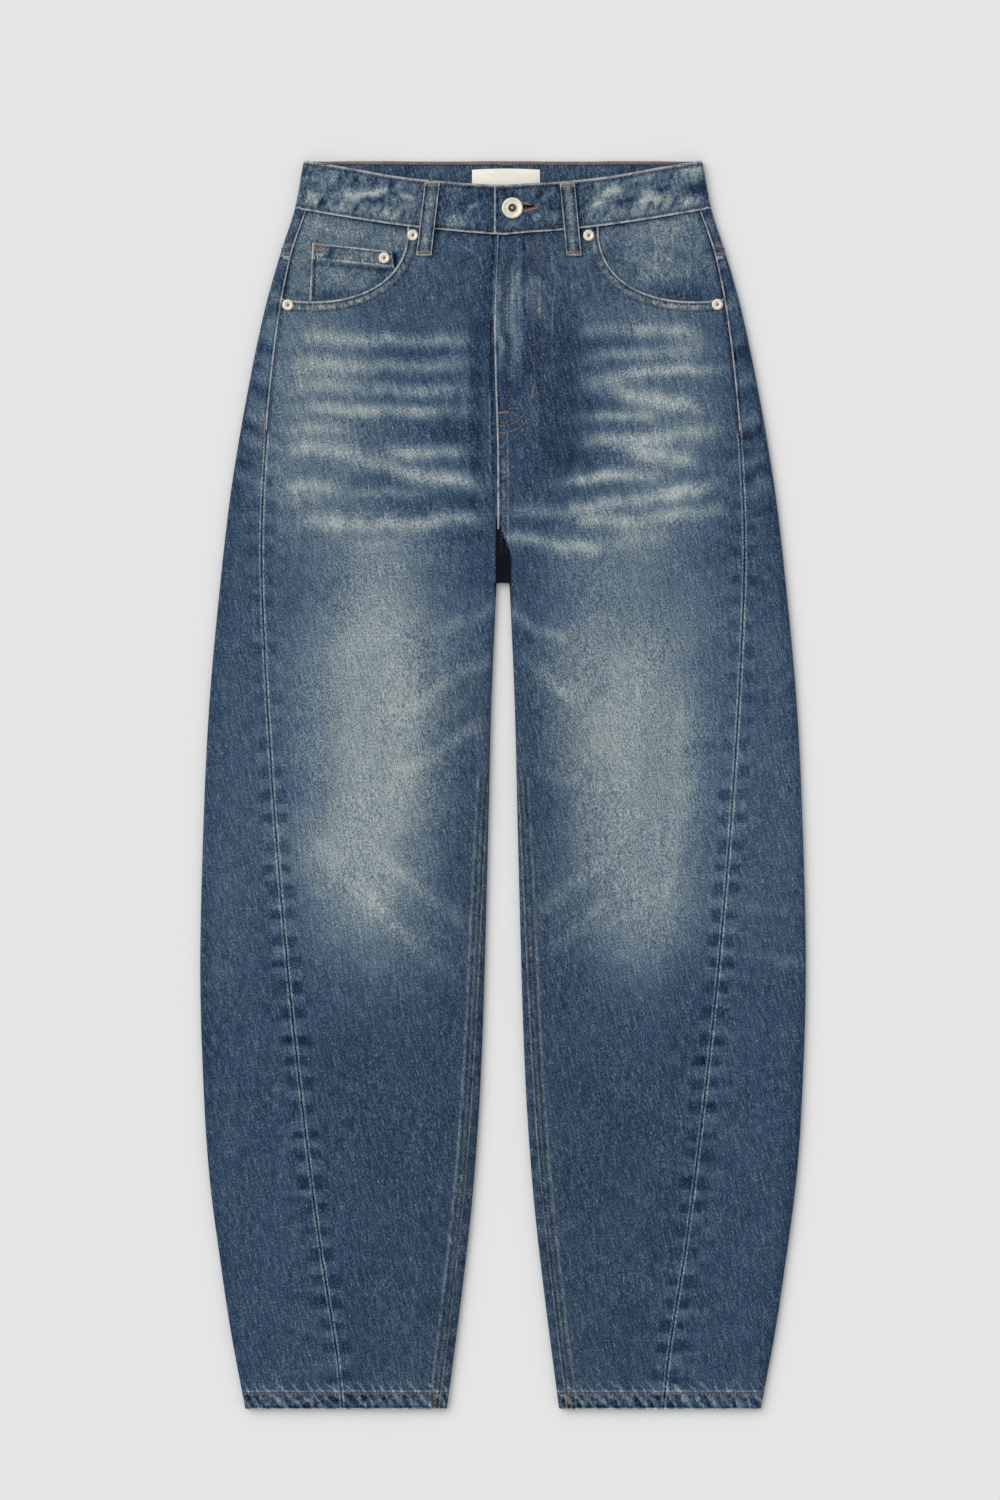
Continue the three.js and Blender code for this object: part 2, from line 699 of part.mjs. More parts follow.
function facingGrid(side) {
  const columns = facingShares.map((share) => {
    const { seamHalf, openingHalf, openingDown } = facingColumn(share);
    const [deepHalf, deepDown] = mouthPoint(share, facingUnder);
    const below = facingRows.map((t) => [mix(openingHalf, deepHalf, t), mix(openingDown, deepDown, t)]);
    return [[seamHalf, bandBottomFront(seamHalf) + seamGap], [openingHalf, openingDown], ...below];
  });
  return columns[0].map((_, r) => columns.map((column, c) => {
    const [half, down] = column[r];
    const seam = outseam(down) - 2 * seamGap;
    const placed = c === columns.length - 1 ? seam : Math.min(half, seam - 3);
    return [placed, down, facingFace(side, placed, down)];
  }));
}

function pocketFacing(side) {
  const outer = facingGrid(side);
  return wallGeometry(outer, lowered(outer, facingThickness), side);
}

function coinPocketPatch() {
  const { side, fromColumn, toColumn, fromRow, toRow, thickness } = coinPocket;
  const covered = facingGrid(side).slice(fromRow, toRow + 1).map((row) => row.slice(fromColumn, toColumn + 1));
  const under = lowered(covered, -seamGap);
  return wallGeometry(lowered(under, -thickness), under, side);
}

// A belt loop over the front waistband, tacked at both ends and slack between them.
function frontLoop({ topX, bottomX, top, bottom }) {
  const width = 12.7;
  const thickness = 1.6;
  const slack = 1.2;
  const rest = (x, down) => {
    const edge = bandBottomFront(Math.abs(x));
    const below = smoothStep(edge + 3, edge + 10, down);
    return mix(topFace(x, down, bandHeight), topFace(x, down), below) + seamGap;
  };
  const under = [0, 0.12, 0.3, 0.5, 0.68, 0.8, 0.9, 1].map((t) => [-0.5, 0, 0.5].map((share) => {
    const x = mix(topX, bottomX, t) + width * share;
    const down = mix(top, bottom, t);
    return [x, down, rest(x, down) + slack * Math.sin(Math.PI * t) ** 2];
  }));
  return wallGeometry(lowered(under, -thickness), under);
}

const frontLoops = [
  { name: 'belt_loop_front_right', topX: -59.8, bottomX: -67.2, top: 18.2, bottom: 80.5 },
  { name: 'belt_loop_front_left', topX: 54.4, bottomX: 60.2, top: 19, bottom: 80.5 },
];

function backLoop(x) {
  const { width, top, bottom, thickness } = backLoopSize;
  const geometry = new THREE.BoxGeometry(width, bottom - top, thickness);
  geometry.translate(x, garmentLength / 2 - (top + bottom) / 2, thickness / 2);
  return geometry;
}

// A patch pocket with a shallow point, flat on the surface that the jeans lie on.
function backPocketPatch(side) {
  const { topIn, topOut, bottomIn, bottomOut, pointDrop, thickness } = backPocket;
  const outline = new THREE.Shape();
  const corner = ({ half, down }) => [side * half, garmentLength / 2 - down];
  const pointAt = { half: (bottomIn.half + bottomOut.half) / 2, down: bottomIn.down + pointDrop };
  outline.moveTo(...corner(topIn));
  for (const next of [topOut, bottomOut, pointAt, bottomIn]) outline.lineTo(...corner(next));
  outline.closePath();
  return new THREE.ExtrudeGeometry(outline, { depth: thickness, bevelEnabled: false });
}

// The maker's patch inside the back waistband, left blank.
function waistPatch() {
  const patch = { fromX: -26.3, toX: 31.3, top: 7.2, bottom: 34, archRise: 0.8, thickness: 1 };
  const under = steps(3).map((t) => steps(9).map((u) => {
    const x = mix(patch.fromX, patch.toX, u);
    const down = mix(patch.top - patch.archRise * Math.sin(Math.PI * u) * (1 - t), patch.bottom, t);
    return [x, down, underFace(x, down, bandHeight) + bandThickness + seamGap];
  }));
  return wallGeometry(lowered(under, -patch.thickness), under);
}

// Metal trims

// A turned piece standing on +Z, from a profile of [radius, height] that starts and ends on the axis.
function turned(profile, segments) {
  const points = profile.map(([radius, height]) => new THREE.Vector2(radius, height));
  const geometry = new THREE.LatheGeometry(points, segments);
  geometry.rotateX(Math.PI / 2);
  geometry.deleteAttribute('normal');
  geometry.deleteAttribute('uv');
  const merged = mergeVertices(geometry, 1e-3);
  const index = merged.getIndex().array;
  const kept = [];
  for (let i = 0; i < index.length; i += 3) {
    const [a, b, c] = index.slice(i, i + 3);
    if (a !== b && b !== c && c !== a) kept.push(a, b, c);
  }
  merged.setIndex(kept);
  return facingOut(merged);
}

function waistButton() {
  const { radius, height, shankRadius } = buttonSize;
  const neck = bandLap.rise + seamGap;
  return turned([
    [0, 0], [shankRadius, 0], [shankRadius, neck], [radius - 1.4, neck], [radius, neck + 0.9],
    [radius - 0.2, neck + 1.7], [radius - 1.2, neck + 2.3], [3.9, neck + 1.9], [3.1, neck + 0.9],
    [1.9, neck + 0.9], [1.5, neck + 1.9], [0, neck + height - 1],
  ], 24);
}

function rivet() {
  const { radius, height } = rivetSize;
  return turned([
    [0, 0], [radius - 0.5, 0], [radius, 0.5], [radius - 0.9, height - 0.2], [2.4, height - 0.2],
    [1.9, height - 0.7], [1.2, height - 0.7], [0.8, height], [0, height + 0.2],
  ], 14);
}

const rivets = [
  { name: 'rivet_waist_right', x: -76.6, down: 63.2 },
  { name: 'rivet_waist_left', x: 72.6, down: 63.4 },
  { name: 'rivet_side_right', x: -182.4, down: 122.6 },
  { name: 'rivet_side_left', x: 181.6, down: 122.2 },
  { name: 'rivet_coin_pocket', x: -100.8, down: 82.4, onCoinPocket: true },
];

// Rivets sit a gap above the highest cloth under their rim.
function rivetBase({ x, down, onCoinPocket }) {
  const rim = steps(9).map((t) => {
    const underX = x + rivetSize.radius * Math.cos(2 * Math.PI * t);
    const underDown = down + rivetSize.radius * Math.sin(2 * Math.PI * t);
    if (!onCoinPocket) return topFace(underX, underDown) + mouthRise;
    return facingFace(coinPocket.side, Math.abs(underX), underDown) + seamGap + coinPocket.thickness;
  });
  return Math.max(...rim) + seamGap;
}

// Assembly

function named(name, geometry, finish) {
  const mesh = new THREE.Mesh(geometry, new THREE.MeshStandardMaterial(finish));
  mesh.name = name;
  return mesh;
}

function clothPieces(wasm) {
  const pieces = [];
  for (const [hand, side] of [['right', -1], ['left', 1]]) {
    const band = waistbandHalf(side);
    pieces.push(
      named(`front_panel_${hand}`, frontPanel(side), denim),
      named(`back_panel_${hand}`, backPanel(side), denim),
      named(`yoke_${hand}`, yoke(side), denim),
      named(`waistband_${hand}`, side > 0 ? cutButtonhole(wasm, band) : band, denim),
      named(`pocket_facing_${hand}`, pocketFacing(side), fadedDenim),
      named(`back_pocket_${hand}`, backPocketPatch(side), denim),
    );
  }
  pieces.push(named('coin_pocket', coinPocketPatch(), fadedDenim));
  for (const loop of frontLoops) pieces.push(named(loop.name, frontLoop(loop), denim));
  for (const loop of backLoops) pieces.push(named(loop.name, backLoop(loop.x), denim));
  pieces.push(named('waist_patch', waistPatch(), palePatch));
  return pieces;
}

function metalPieces() {
  const button = named('waist_button', waistButton(), nickel);
  const bandTop = topFace(buttonPlace.x, buttonPlace.down, bandHeight);
  button.position.set(buttonPlace.x, garmentLength / 2 - buttonPlace.down, bandTop + seamGap);
  const studs = rivets.map((stud) => {
    const mesh = named(stud.name, rivet(), nickel);
    mesh.position.set(stud.x, garmentLength / 2 - stud.down, rivetBase(stud));
    return mesh;
  });
  return [button, ...studs];
}

const wasm = await Module();
wasm.setup();

const jeans = new THREE.Group();
jeans.add(...clothPieces(wasm), ...metalPieces());

export default jeans;
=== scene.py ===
import math

import bpy
import numpy as np
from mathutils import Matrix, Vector
from mathutils.bvhtree import BVHTree


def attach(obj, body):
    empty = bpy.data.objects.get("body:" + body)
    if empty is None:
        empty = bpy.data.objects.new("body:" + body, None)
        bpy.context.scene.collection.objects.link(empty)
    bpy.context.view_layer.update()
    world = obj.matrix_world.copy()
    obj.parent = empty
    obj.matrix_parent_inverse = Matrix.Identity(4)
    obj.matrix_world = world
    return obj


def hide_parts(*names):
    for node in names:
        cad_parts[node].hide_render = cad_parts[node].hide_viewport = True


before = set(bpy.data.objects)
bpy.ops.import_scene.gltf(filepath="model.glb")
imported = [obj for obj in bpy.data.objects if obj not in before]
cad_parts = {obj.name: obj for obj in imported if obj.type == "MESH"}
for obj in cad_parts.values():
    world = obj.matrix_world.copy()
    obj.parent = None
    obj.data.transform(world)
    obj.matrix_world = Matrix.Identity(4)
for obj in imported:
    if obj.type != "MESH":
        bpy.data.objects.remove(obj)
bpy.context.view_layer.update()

# Barrel leg jeans laid flat. All tables are in millimetres; meshes are scaled to metres as they are made.
# "down" is the distance below the top of the back waistband, "half" the distance from the centre line.
# A side is +1 for the wearer's left (+X) and -1 for the wearer's right.
mm = 0.001
thin = 1

jeans = dict(length=1059.0, legHeight=6.8, bandHeight=7.8, wall=1.4, bandWall=2.1, foldReach=5.5,
             crotch=358.0, seamGap=0.3, hem=13.6, hemRise=0.6)


# Outlines, each a list of (down, half)

def smoothCurve(points):
    down = np.array([p[0] for p in points], float)
    half = np.array([p[1] for p in points], float)
    before = np.maximum(np.arange(len(down)) - 1, 0)
    after = np.minimum(np.arange(len(down)) + 1, len(down) - 1)
    slope = (half[after] - half[before]) / (down[after] - down[before])

    def at(where):
        where = np.clip(where, down[0], down[-1])
        i = np.clip(np.searchsorted(down, where, side="right") - 1, 0, len(down) - 2)
        span = down[i + 1] - down[i]
        t = (where - down[i]) / span
        return ((1 + 2 * t) * (1 - t) ** 2 * half[i] + t * (1 - t) ** 2 * span * slope[i]
                + t * t * (3 - 2 * t) * half[i + 1] - t * t * (1 - t) * span * slope[i + 1])
    return at


outerEdge = smoothCurve([
    (0, 169.2), (42, 177.2), (75, 187.9), (126, 202.3), (202, 218.0), (279, 230.8), (355, 239.7), (457, 249.1),
    (559, 254.2), (687, 257.1), (789, 254.2), (865, 249.0), (942, 238.9), (993, 231.2), (1059, 218.9)])
innerEdge = smoothCurve([
    (358, 5.5), (457, 9.8), (559, 12.3), (661, 14.9), (738, 17.2), (814, 20.9), (891, 27.0), (967, 35.7),
    (1059, 47.6)])
outseam = smoothCurve([
    (42, 166.6), (81, 179.8), (143, 191.3), (227, 200.2), (321, 204.8), (406, 202.7), (525, 195.9), (632, 187.6),
    (728, 178.5), (839, 165.8), (921, 155.1), (1009, 141.3), (1059, 136.0)])
inseamRoll = smoothCurve([(500, 0), (627, 2.6), (765, 5.4), (913, 6.6), (1059, 5.6)])
centreFront = smoothCurve([(56, -5.0), (117, -7.6), (185, -6.8), (236, -5.2), (300, -4.8), (358, -4.8)])
bandTopFront = smoothCurve([(0, 21.3), (47, 17.9), (92, 13.2), (125, 7.3), (150, 2.8), (170, 0)])
bandBottomFront = smoothCurve([(0, 63.5), (51, 58.8), (94, 54.2), (125, 49.6), (150, 45.2), (177, 40.6)])
bandDepthBack = 40.0

fly = dict(lap=12, bottom=231, rise=1.9, stitchHalf=32, fadeHalf=52, fadeDown=288)
bandLap = dict(leftEnd=-7.6, rightEnd=20, rise=2.5, flatTo=24, fadeTo=48)
mouth = dict(half=165, down=56, across=84, deep=63.5, power=2.3, curved=0.82, endRise=2.5, rise=0.5)
facing = dict(under=9, shallow=0.6, left=2.1, right=3.3, wall=1.0)
yokeSeam = dict(side=82, centre=108)
pocketLift = dict(half=105, down=208, across=73, deep=90, fade=24, height=1.7)
loopLift = dict(across=17, deep=76, fade=20, height=1.8)
valley = dict(top=288, share=0.5)

# the largest folds, as in the solids: fromX, fromDown, toX, toDown, width, rise
largeFolds = [
    (-160, 176, -45, 170, 15, -0.7), (-165, 226, -40, 238, 17, -0.9), (-150, 292, -30, 306, 18, -0.8),
    (60, 184, 165, 176, 15, -0.8), (50, 250, 160, 232, 17, -0.9), (22, 318, 130, 296, 18, -0.7),
    (-18, 405, -95, 455, 20, -0.9), (-34, 500, -105, 548, 22, -0.6), (-130, 600, -45, 664, 24, -0.8),
    (18, 400, 88, 448, 20, -0.9), (38, 520, 110, 560, 22, -0.5), (125, 588, 38, 652, 24, -0.8),
    (-140, 800, -60, 850, 30, -0.6), (66, 830, 150, 790, 30, -0.6)]


# Small maths

def mix(a, b, t):
    return a + (b - a) * t


def smooth(low, high, value):
    t = np.clip((value - low) / (high - low), 0, 1)
    return t * t * (3 - 2 * t)


def bump(value, centre, width):
    return np.exp(-((value - centre) / width) ** 2)


# Uneven wave from -1 to 1 along s, made of three lengths
def wave(s, seed, length):
    a, b, c = (math.fmod(seed * k, 1) * 6.283 for k in (0.618, 0.414, 0.732))
    return (np.sin(6.283 * s / length + a + 0.7 * np.sin(6.283 * s / (length * 3.7) + b))
            + 0.6 * np.sin(6.283 * s / (length * 0.53) + b)
            + 0.5 * np.sin(6.283 * s / (length * 2.3) + c)) / 2.1


# Where a point lies by a stroke: the share of the way along it, and the distance from it
def byStroke(x, down, x1, d1, x2, d2):
    runX, runD = x2 - x1, d2 - d1
    t = np.clip(((x - x1) * runX + (down - d1) * runD) / (runX ** 2 + runD ** 2), 0, 1)
    return t, np.hypot(x - x1 - t * runX, down - d1 - t * runD)


strokeEnds = 0.3        # share of a stroke over which each end thins out


# Soft stroke between two points: 1 on its line
def strokeMask(x, down, x1, d1, x2, d2, width):
    t, away = byStroke(x, down, x1, d1, x2, d2)
    body = smooth(0, strokeEnds, t) * smooth(0, strokeEnds, 1 - t)
    return np.exp(-(away / width) ** 2) * (0.15 + 0.85 * body)


# Shares from 0 to 1, closer together at both ends the nearer dense is to 1
def spread(count, dense=1.0):
    t = np.linspace(0, 1, count)
    return mix(t, 0.5 - 0.5 * np.cos(np.pi * t), dense)


# Heights of the laid cloth

def softBox(across, along, reachX, reachD, fade):
    outside = np.hypot(np.maximum(0, np.abs(across) - reachX), np.maximum(0, np.abs(along) - reachD))
    return 1 - smooth(0, fade, outside)


def lift(x, down):
    high = pocketLift["height"] * softBox(np.abs(x) - pocketLift["half"], down - pocketLift["down"],
                                          pocketLift["across"], pocketLift["deep"], pocketLift["fade"])
    for loopX in backLoops.values():
        high = np.maximum(high, loopLift["height"] * softBox(x - loopX, down, loopLift["across"],
                                                             loopLift["deep"], loopLift["fade"]))
    return high


def foldRound(distance):
    t = np.clip(distance / jeans["foldReach"], 0, 1)
    return np.sqrt(np.maximum(0, 1 - (1 - t) ** 2))


def fullness(half, down):
    outer = foldRound(outerEdge(down) - half)
    leg = outer * foldRound(half - innerEdge(down))
    sink = valley["share"] * smooth(valley["top"], jeans["crotch"], down)
    return np.where(down >= jeans["crotch"], leg, outer * (1 - sink * (1 - foldRound(half))))


def foldRelief(x, down):
    total = np.zeros(np.broadcast(x, down).shape)
    for x1, d1, x2, d2, width, rise in largeFolds:
        t, away = byStroke(x, down, x1, d1, x2, d2)
        total = total + rise * (0.35 + 0.65 * np.sin(np.pi * t)) * np.exp(-(away / width) ** 2)
    return total


def hemShare(down):
    return smooth(jeans["length"] - jeans["hem"] - 0.8, jeans["length"] - jeans["hem"] + 0.2, down)


def topFace(x, down, height=None):
    height = height or jeans["legHeight"]
    full = fullness(np.abs(x), down)
    return (height / 2 * (1 + full) + lift(x, down)
            + full * (jeans["hemRise"] * hemShare(down) + foldRelief(x, down)))


def underFace(x, down, height=None):
    height = height or jeans["legHeight"]
    return height / 2 * (1 - fullness(np.abs(x), down)) + lift(x, down)


def flyRise(x, down):
    return (fly["rise"] * (1 - smooth(fly["stitchHalf"], fly["fadeHalf"], x))
            * (1 - smooth(fly["bottom"] + 9, fly["fadeDown"], down)))


def bandRise(x):
    return bandLap["rise"] * (1 - smooth(bandLap["flatTo"], bandLap["fadeTo"], x))


# The wash: how pale the cloth is, from 0 (deep indigo) to 1 (nearly white)

# thigh and hip fades: x, down, reachX, reachDown, turn (degrees), power, strength
fadeAreas = [
    (-104, 385, 44, 62, 0, 2.2, 0.05), (-92, 640, 40, 60, 0, 2.2, 0.04), (-116, 490, 78, 225, 1, 3.2, 0.25),
    (-108, 475, 38, 165, 0, 2.4, 0.21), (-150, 500, 34, 190, 0, 2.6, 0.06), (-122, 600, 46, 70, 0, 2.2, 0.10),
    (-118, 660, 44, 60, 0, 2.0, 0.06), (-68, 545, 30, 90, 0, 2.0, 0.08), (-62, 445, 34, 60, 28, 2.0, 0.10),
    (-160, 222, 56, 126, 0, 2.6, 0.21), (-90, 230, 40, 60, 0, 2.2, 0.06), (-92, 330, 50, 26, 0, 2.0, 0.10),
    (112, 490, 84, 215, -2, 3.2, 0.26), (126, 540, 40, 150, 3, 2.4, 0.14), (78, 450, 44, 90, 0, 2.2, 0.10),
    (112, 655, 44, 62, 0, 2.0, 0.12), (134, 222, 60, 122, 0, 2.4, 0.18), (134, 228, 30, 26, 0, 2.2, 0.08),
    (84, 335, 56, 34, 0, 2.2, 0.10), (88, 530, 34, 70, 0, 2.0, 0.08), (112, 440, 24, 40, 0, 2.0, 0.09),
    (86, 480, 18, 30, 0, 2.0, 0.06), (10, 138, 6, 52, 0, 2.6, 0.24), (-3.5, 132, 3.8, 50, 0, 3.0, 0.34),
    (22, 205, 10, 26, 0, 2.0, 0.08), (26, 112, 10, 15, 0, 2.0, 0.16), (38, 150, 5, 60, 0, 2.4, 0.05),
    (-33, 205, 5, 50, 0, 2.4, 0.04), (62, 78, 12, 14, 0, 2.0, 0.10), (-72, 84, 12, 12, 0, 2.0, 0.10),
    (110, 128, 50, 9, 0, 2.2, 0.06)]

# whiskers and worn creases: x1, down1, x2, down2, width, strength
whiskers = [
    (-180, 151, -98, 152, 6, 0.20), (-128, 153, -14, 153, 5, 0.22), (-188, 175, -104, 173, 6, 0.22),
    (-130, 175, -16, 173, 5, 0.20), (-188, 191, -104, 191, 6, 0.18), (-128, 195, -16, 195, 5, 0.21),
    (-190, 211, -14, 213, 5, 0.25), (-192, 228, -122, 228, 5, 0.16), (-192, 243, -112, 249, 6, 0.22),
    (-108, 247, -22, 248, 5, 0.28), (-130, 252, -84, 263, 5, 0.18), (-100, 262, -10, 276, 6, 0.34),
    (-190, 276, -136, 279, 5, 0.20), (-146, 281, -50, 283, 4, 0.12), (-196, 288, -150, 288, 4, 0.08),
    (-184, 307, -62, 309, 6, 0.20), (-92, 308, -8, 302, 5, 0.24), (-140, 325, -70, 328, 4, 0.06),
    (62, 144, 102, 143, 5, 0.16), (92, 143, 172, 145, 5, 0.22), (138, 152, 182, 154, 6, 0.10),
    (66, 167, 118, 163, 4, 0.17), (102, 163, 176, 163, 5, 0.16), (92, 181, 190, 176, 4, 0.26),
    (62, 188, 108, 186, 6, 0.20), (84, 196, 176, 211, 6, 0.26), (56, 218, 138, 216, 4, 0.20),
    (58, 237, 140, 236, 5, 0.22), (120, 238, 190, 226, 6, 0.18), (94, 244, 172, 258, 6, 0.24),
    (42, 273, 106, 266, 4, 0.30), (84, 267, 142, 268, 5, 0.16), (128, 284, 190, 272, 5, 0.18),
    (40, 299, 110, 288, 5, 0.24), (94, 290, 172, 281, 5, 0.20), (0, 298, 60, 298, 5, 0.16),
    (56, 305, 120, 306, 5, 0.24), (104, 306, 198, 294, 5, 0.20), (-4, 320, 44, 322, 5, 0.24),
    (32, 324, 92, 329, 5, 0.24), (84, 322, 150, 318, 8, 0.10), (-4, 374, -30, 391, 4, 0.18),
    (-24, 389, -66, 400, 5, 0.12), (-6, 419, -44, 440, 5, 0.16), (-36, 436, -84, 468, 5, 0.16),
    (-14, 474, -54, 500, 5, 0.20), (-44, 496, -92, 520, 5, 0.14), (-114, 582, -40, 642, 5, 0.13),
    (-136, 606, -90, 648, 6, 0.09), (-104, 640, -38, 694, 6, 0.11), (-50, 626, -30, 656, 5, 0.14),
    (-160, 574, -138, 604, 5, 0.12), (4, 380, 28, 400, 4, 0.22), (20, 398, 60, 402, 4, 0.16),
    (8, 416, 38, 438, 5, 0.12), (30, 434, 68, 462, 5, 0.16), (24, 512, 66, 532, 5, 0.08),
    (96, 586, 34, 632, 5, 0.12), (50, 620, 28, 640, 5, 0.10), (98, 624, 32, 674, 5, 0.12),
    (152, 440, 150, 560, 4, 0.05), (151, 540, 136, 650, 5, 0.06), (196, 630, 256, 636, 6, 0.06),
    (214, 672, 262, 684, 4, 0.10), (-262, 684, -214, 690, 5, 0.07)]

# places that stay dark: x, down, reachX, reachDown, turn, power, strength
darkAreas = [
    (-24, 205, 7, 100, 0, 2.4, 0.12), (-18, 290, 9, 50, 0, 2.2, 0.05), (-60, 228, 40, 14, 0, 2.2, 0.06),
    (-70, 160, 40, 7, 0, 2.2, 0.05), (-80, 184, 40, 6, 0, 2.2, 0.04), (-80, 203, 40, 6, 0, 2.2, 0.05),
    (-96, 272, 36, 8, 0, 2.2, 0.06), (-58, 290, 46, 9, 0, 2.2, 0.06), (-36, 318, 30, 8, 0, 2.0, 0.04),
    (29.5, 155, 3.5, 26, 0, 2.2, 0.08), (21, 150, 4, 60, 0, 2.2, 0.06), (50, 190, 18, 96, 0, 2.2, 0.07),
    (24, 190, 18, 60, 0, 2.2, 0.05), (30, 88, 16, 14, 0, 2.2, 0.06), (2, 190, 5, 30, 0, 2.2, 0.06),
    (-20, 110, 30, 50, 0, 2.2, 0.05), (36, 590, 24, 90, 0, 2.2, 0.04), (-12, 150, 5, 80, 0, 2.4, 0.06),
    (86, 206, 30, 9, 0, 2.2, 0.07), (98, 226, 30, 7, 0, 2.2, 0.05), (84, 252, 44, 10, 0, 2.2, 0.07),
    (92, 277, 40, 7, -4, 2.2, 0.06), (34, 306, 34, 6, 0, 2.0, 0.05), (96, 155, 40, 6, 0, 2.0, 0.05),
    (22, 450, 14, 120, 0, 2.2, 0.03), (-36, 570, 26, 90, 0, 2.4, 0.03), (36, 560, 26, 70, 0, 2.4, 0.03),
    (-60, 630, 30, 26, 0, 2.0, 0.03), (20, 405, 14, 12, 0, 2.0, 0.04)]


def areaMask(x, down, area):
    ax, ad, reachX, reachD, turn, power, strength = area
    c, s = math.cos(math.radians(turn)), math.sin(math.radians(turn))
    u, v = (x - ax) * c + (down - ad) * s, (down - ad) * c - (x - ax) * s
    level = (np.abs(u / reachX) ** power + np.abs(v / reachD) ** power) ** (1 / power)
    return strength * (1 - smooth(0.35, 1.25, level))


# thin lines: x1, down1, x2, down2; the pale ones are worn creases
paleLines = [
    (41.5, 76, 41.5, 90), (41.5, 90, 45, 98), (45, 98, 42, 128), (42, 128, 41, 165), (-43, 64, -35, 72),
    (-35, 72, -21, 80), (-21, 80, -17, 92), (-51.5, 64, -51, 76), (-11.5, 200, -11, 262), (13.5, 95, 13.5, 128),
    (31, 104, 31, 128), (8.5, 96, 8.5, 120)]
# dark lines: the first three are painted shadow along the fly's edge on the wearer's right panel
flyShadowAndDarkLines = [(-8, 64, -10.4, 117), (-10.4, 117, -9.4, 200), (-9.4, 200, -7.4, 300), (17.5, 70, 18, 132)]


# Signed distance from the nearest line; it grows fast past 4 mm and past a line's ends
def lineField(x, down, lines):
    nearest = np.full(np.broadcast(x, down).shape, 99.0)
    for x1, d1, x2, d2 in lines:
        run = math.hypot(x2 - x1, d2 - d1)
        across = ((x - x1) * (d2 - d1) - (down - d1) * (x2 - x1)) / run
        along = ((x - x1) * (x2 - x1) + (down - d1) * (d2 - d1)) / run
        past = np.maximum(0, np.maximum(-along, along - run))
        size = np.abs(across) + 0.5 * past
        size = np.where(size > 4, 4 + (size - 4) * 20, size)
        nearest = np.where(size < np.abs(nearest), np.where(across < 0, -size, size), nearest)
    return nearest


# Legs look greyer towards the inseam
def greyShare(x, down):
    near = np.exp(-((np.abs(x) - innerEdge(down)) / 62) ** 2) * smooth(380, 470, down)
    return 0.55 * near + 0.25 * (1 - smooth(120, 150, down))


# Wash on everything below the waistband, seen on the front
def legWash(x, down):
    half = np.abs(x)
    hip = 1 - smooth(330, 420, down)
    tone = 0.185 + 0.06 * (1 - smooth(600, 720, down)) + 0.01 * hip + 0.015 * smooth(980, 1059, down)
    sway = 7 * wave(down, 2.2, 150) + 3 * wave(down + 0.5 * x, 6.4, 41)
    for area in fadeAreas:
        tone = tone + areaMask(x + sway, down, area)
    for area in darkAreas:
        tone = tone - areaMask(x, down, area)
    ripple = 1.9 * wave(x, 3.1, 60) + 1.3 * wave(x, 5.7, 23)
    vary = 1.16 + 0.24 * wave(x + 0.3 * down, 8.8, 41) + 0.05 * wave(x - 0.5 * down, 2.9, 13)
    onHip = 1 - smooth(330, 400, down)
    vary = vary * (1 + 0.45 * onHip)
    for x1, d1, x2, d2, width, strength in whiskers:
        tone = tone + strength * vary * strokeMask(x, down + ripple, x1, d1, x2, d2, width * 1.2)
    tone = tone - onHip * smooth(132, 150, down) * (0.045 + 0.015 * (x > 0))
    outer = outerEdge(down) - half
    tone = tone + 0.03 * smooth(4, 18, outer) * (1 - smooth(45, 75, outer)) * (1 - 0.5 * smooth(700, 900, down))
    # painted shade: darker within 12 mm of the outer fold and, below the crotch, of the inner fold, where the
    # cloth rounds away
    tone = tone - 0.05 * (1 - smooth(0, 12, outer))
    tone = tone - np.where(down > jeans["crotch"], 0.04 * (1 - smooth(0, 12, half - innerEdge(down))), 0)
    streaks = 0.012 * wave(x, 4.2, 17) + 0.010 * wave(x + 0.02 * down, 9.1, 7)
    return tone + streaks


# Painted shade: the hollow between the legs darkened to near black, standing in for the shadow there
def crotchShade(x, down):
    right = mix(-3.0, 5.8, smooth(306, 338, down))
    inside = smooth(-6.6, -5.4, x) * (1 - smooth(right - 1, right + 1, x))
    return smooth(300, 316, down) * inside * (down < 372)


# Dark marks beside a seam, where its hidden allowance stayed unworn
def seamBlotches(off, down, seed):
    beat = np.sin(2 * np.pi * (down / 20.5 + 0.17 * wave(down, 4.7, 75) + 0.06 * wave(down, seed, 27)))
    size = 12.5 + 2.5 * wave(down, seed + 2, 33)
    near = smooth(0.8, 2.2, np.abs(off)) * (1 - smooth(size - 3.5, size + 1, np.abs(off)))
    knee = 0.7 + 0.65 * smooth(480, 580, down) * (1 - 0.3 * smooth(720, 800, down))
    return (smooth(-0.2, 0.25, beat) - 0.32) * near * knee * (0.85 + 0.3 * wave(down, seed + 5, 47))


# Mesh building

# Attribute values of cloth without lines or seams
def plainCloth(count):
    return {key: np.full(count, value) for key, value in
            dict(rim=99.0, seam=99.0, pale=99.0, dark=99.0, blotch=0.0, grey=0.0).items()}


def newMesh(node, vertices, faces, attributes, material, sharp=50):
    first, *words = node.split("_")
    name = first + "".join(word.capitalize() for word in words)
    mesh = bpy.data.meshes.new(name)
    mesh.from_pydata((np.asarray(vertices) * mm).tolist(), [], faces)
    for key, values in {**plainCloth(len(vertices)), **attributes}.items():
        layer = mesh.attributes.new(key, "FLOAT", "POINT")
        layer.data.foreach_set("value", np.asarray(values, dtype=np.float32).ravel())
    mesh.materials.append(material)
    mesh.shade_smooth()
    mesh.set_sharp_from_angle(angle=math.radians(sharp))
    piece = bpy.data.objects.new(name, mesh)
    bpy.context.scene.collection.objects.link(piece)
    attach(piece, "root")
    return piece


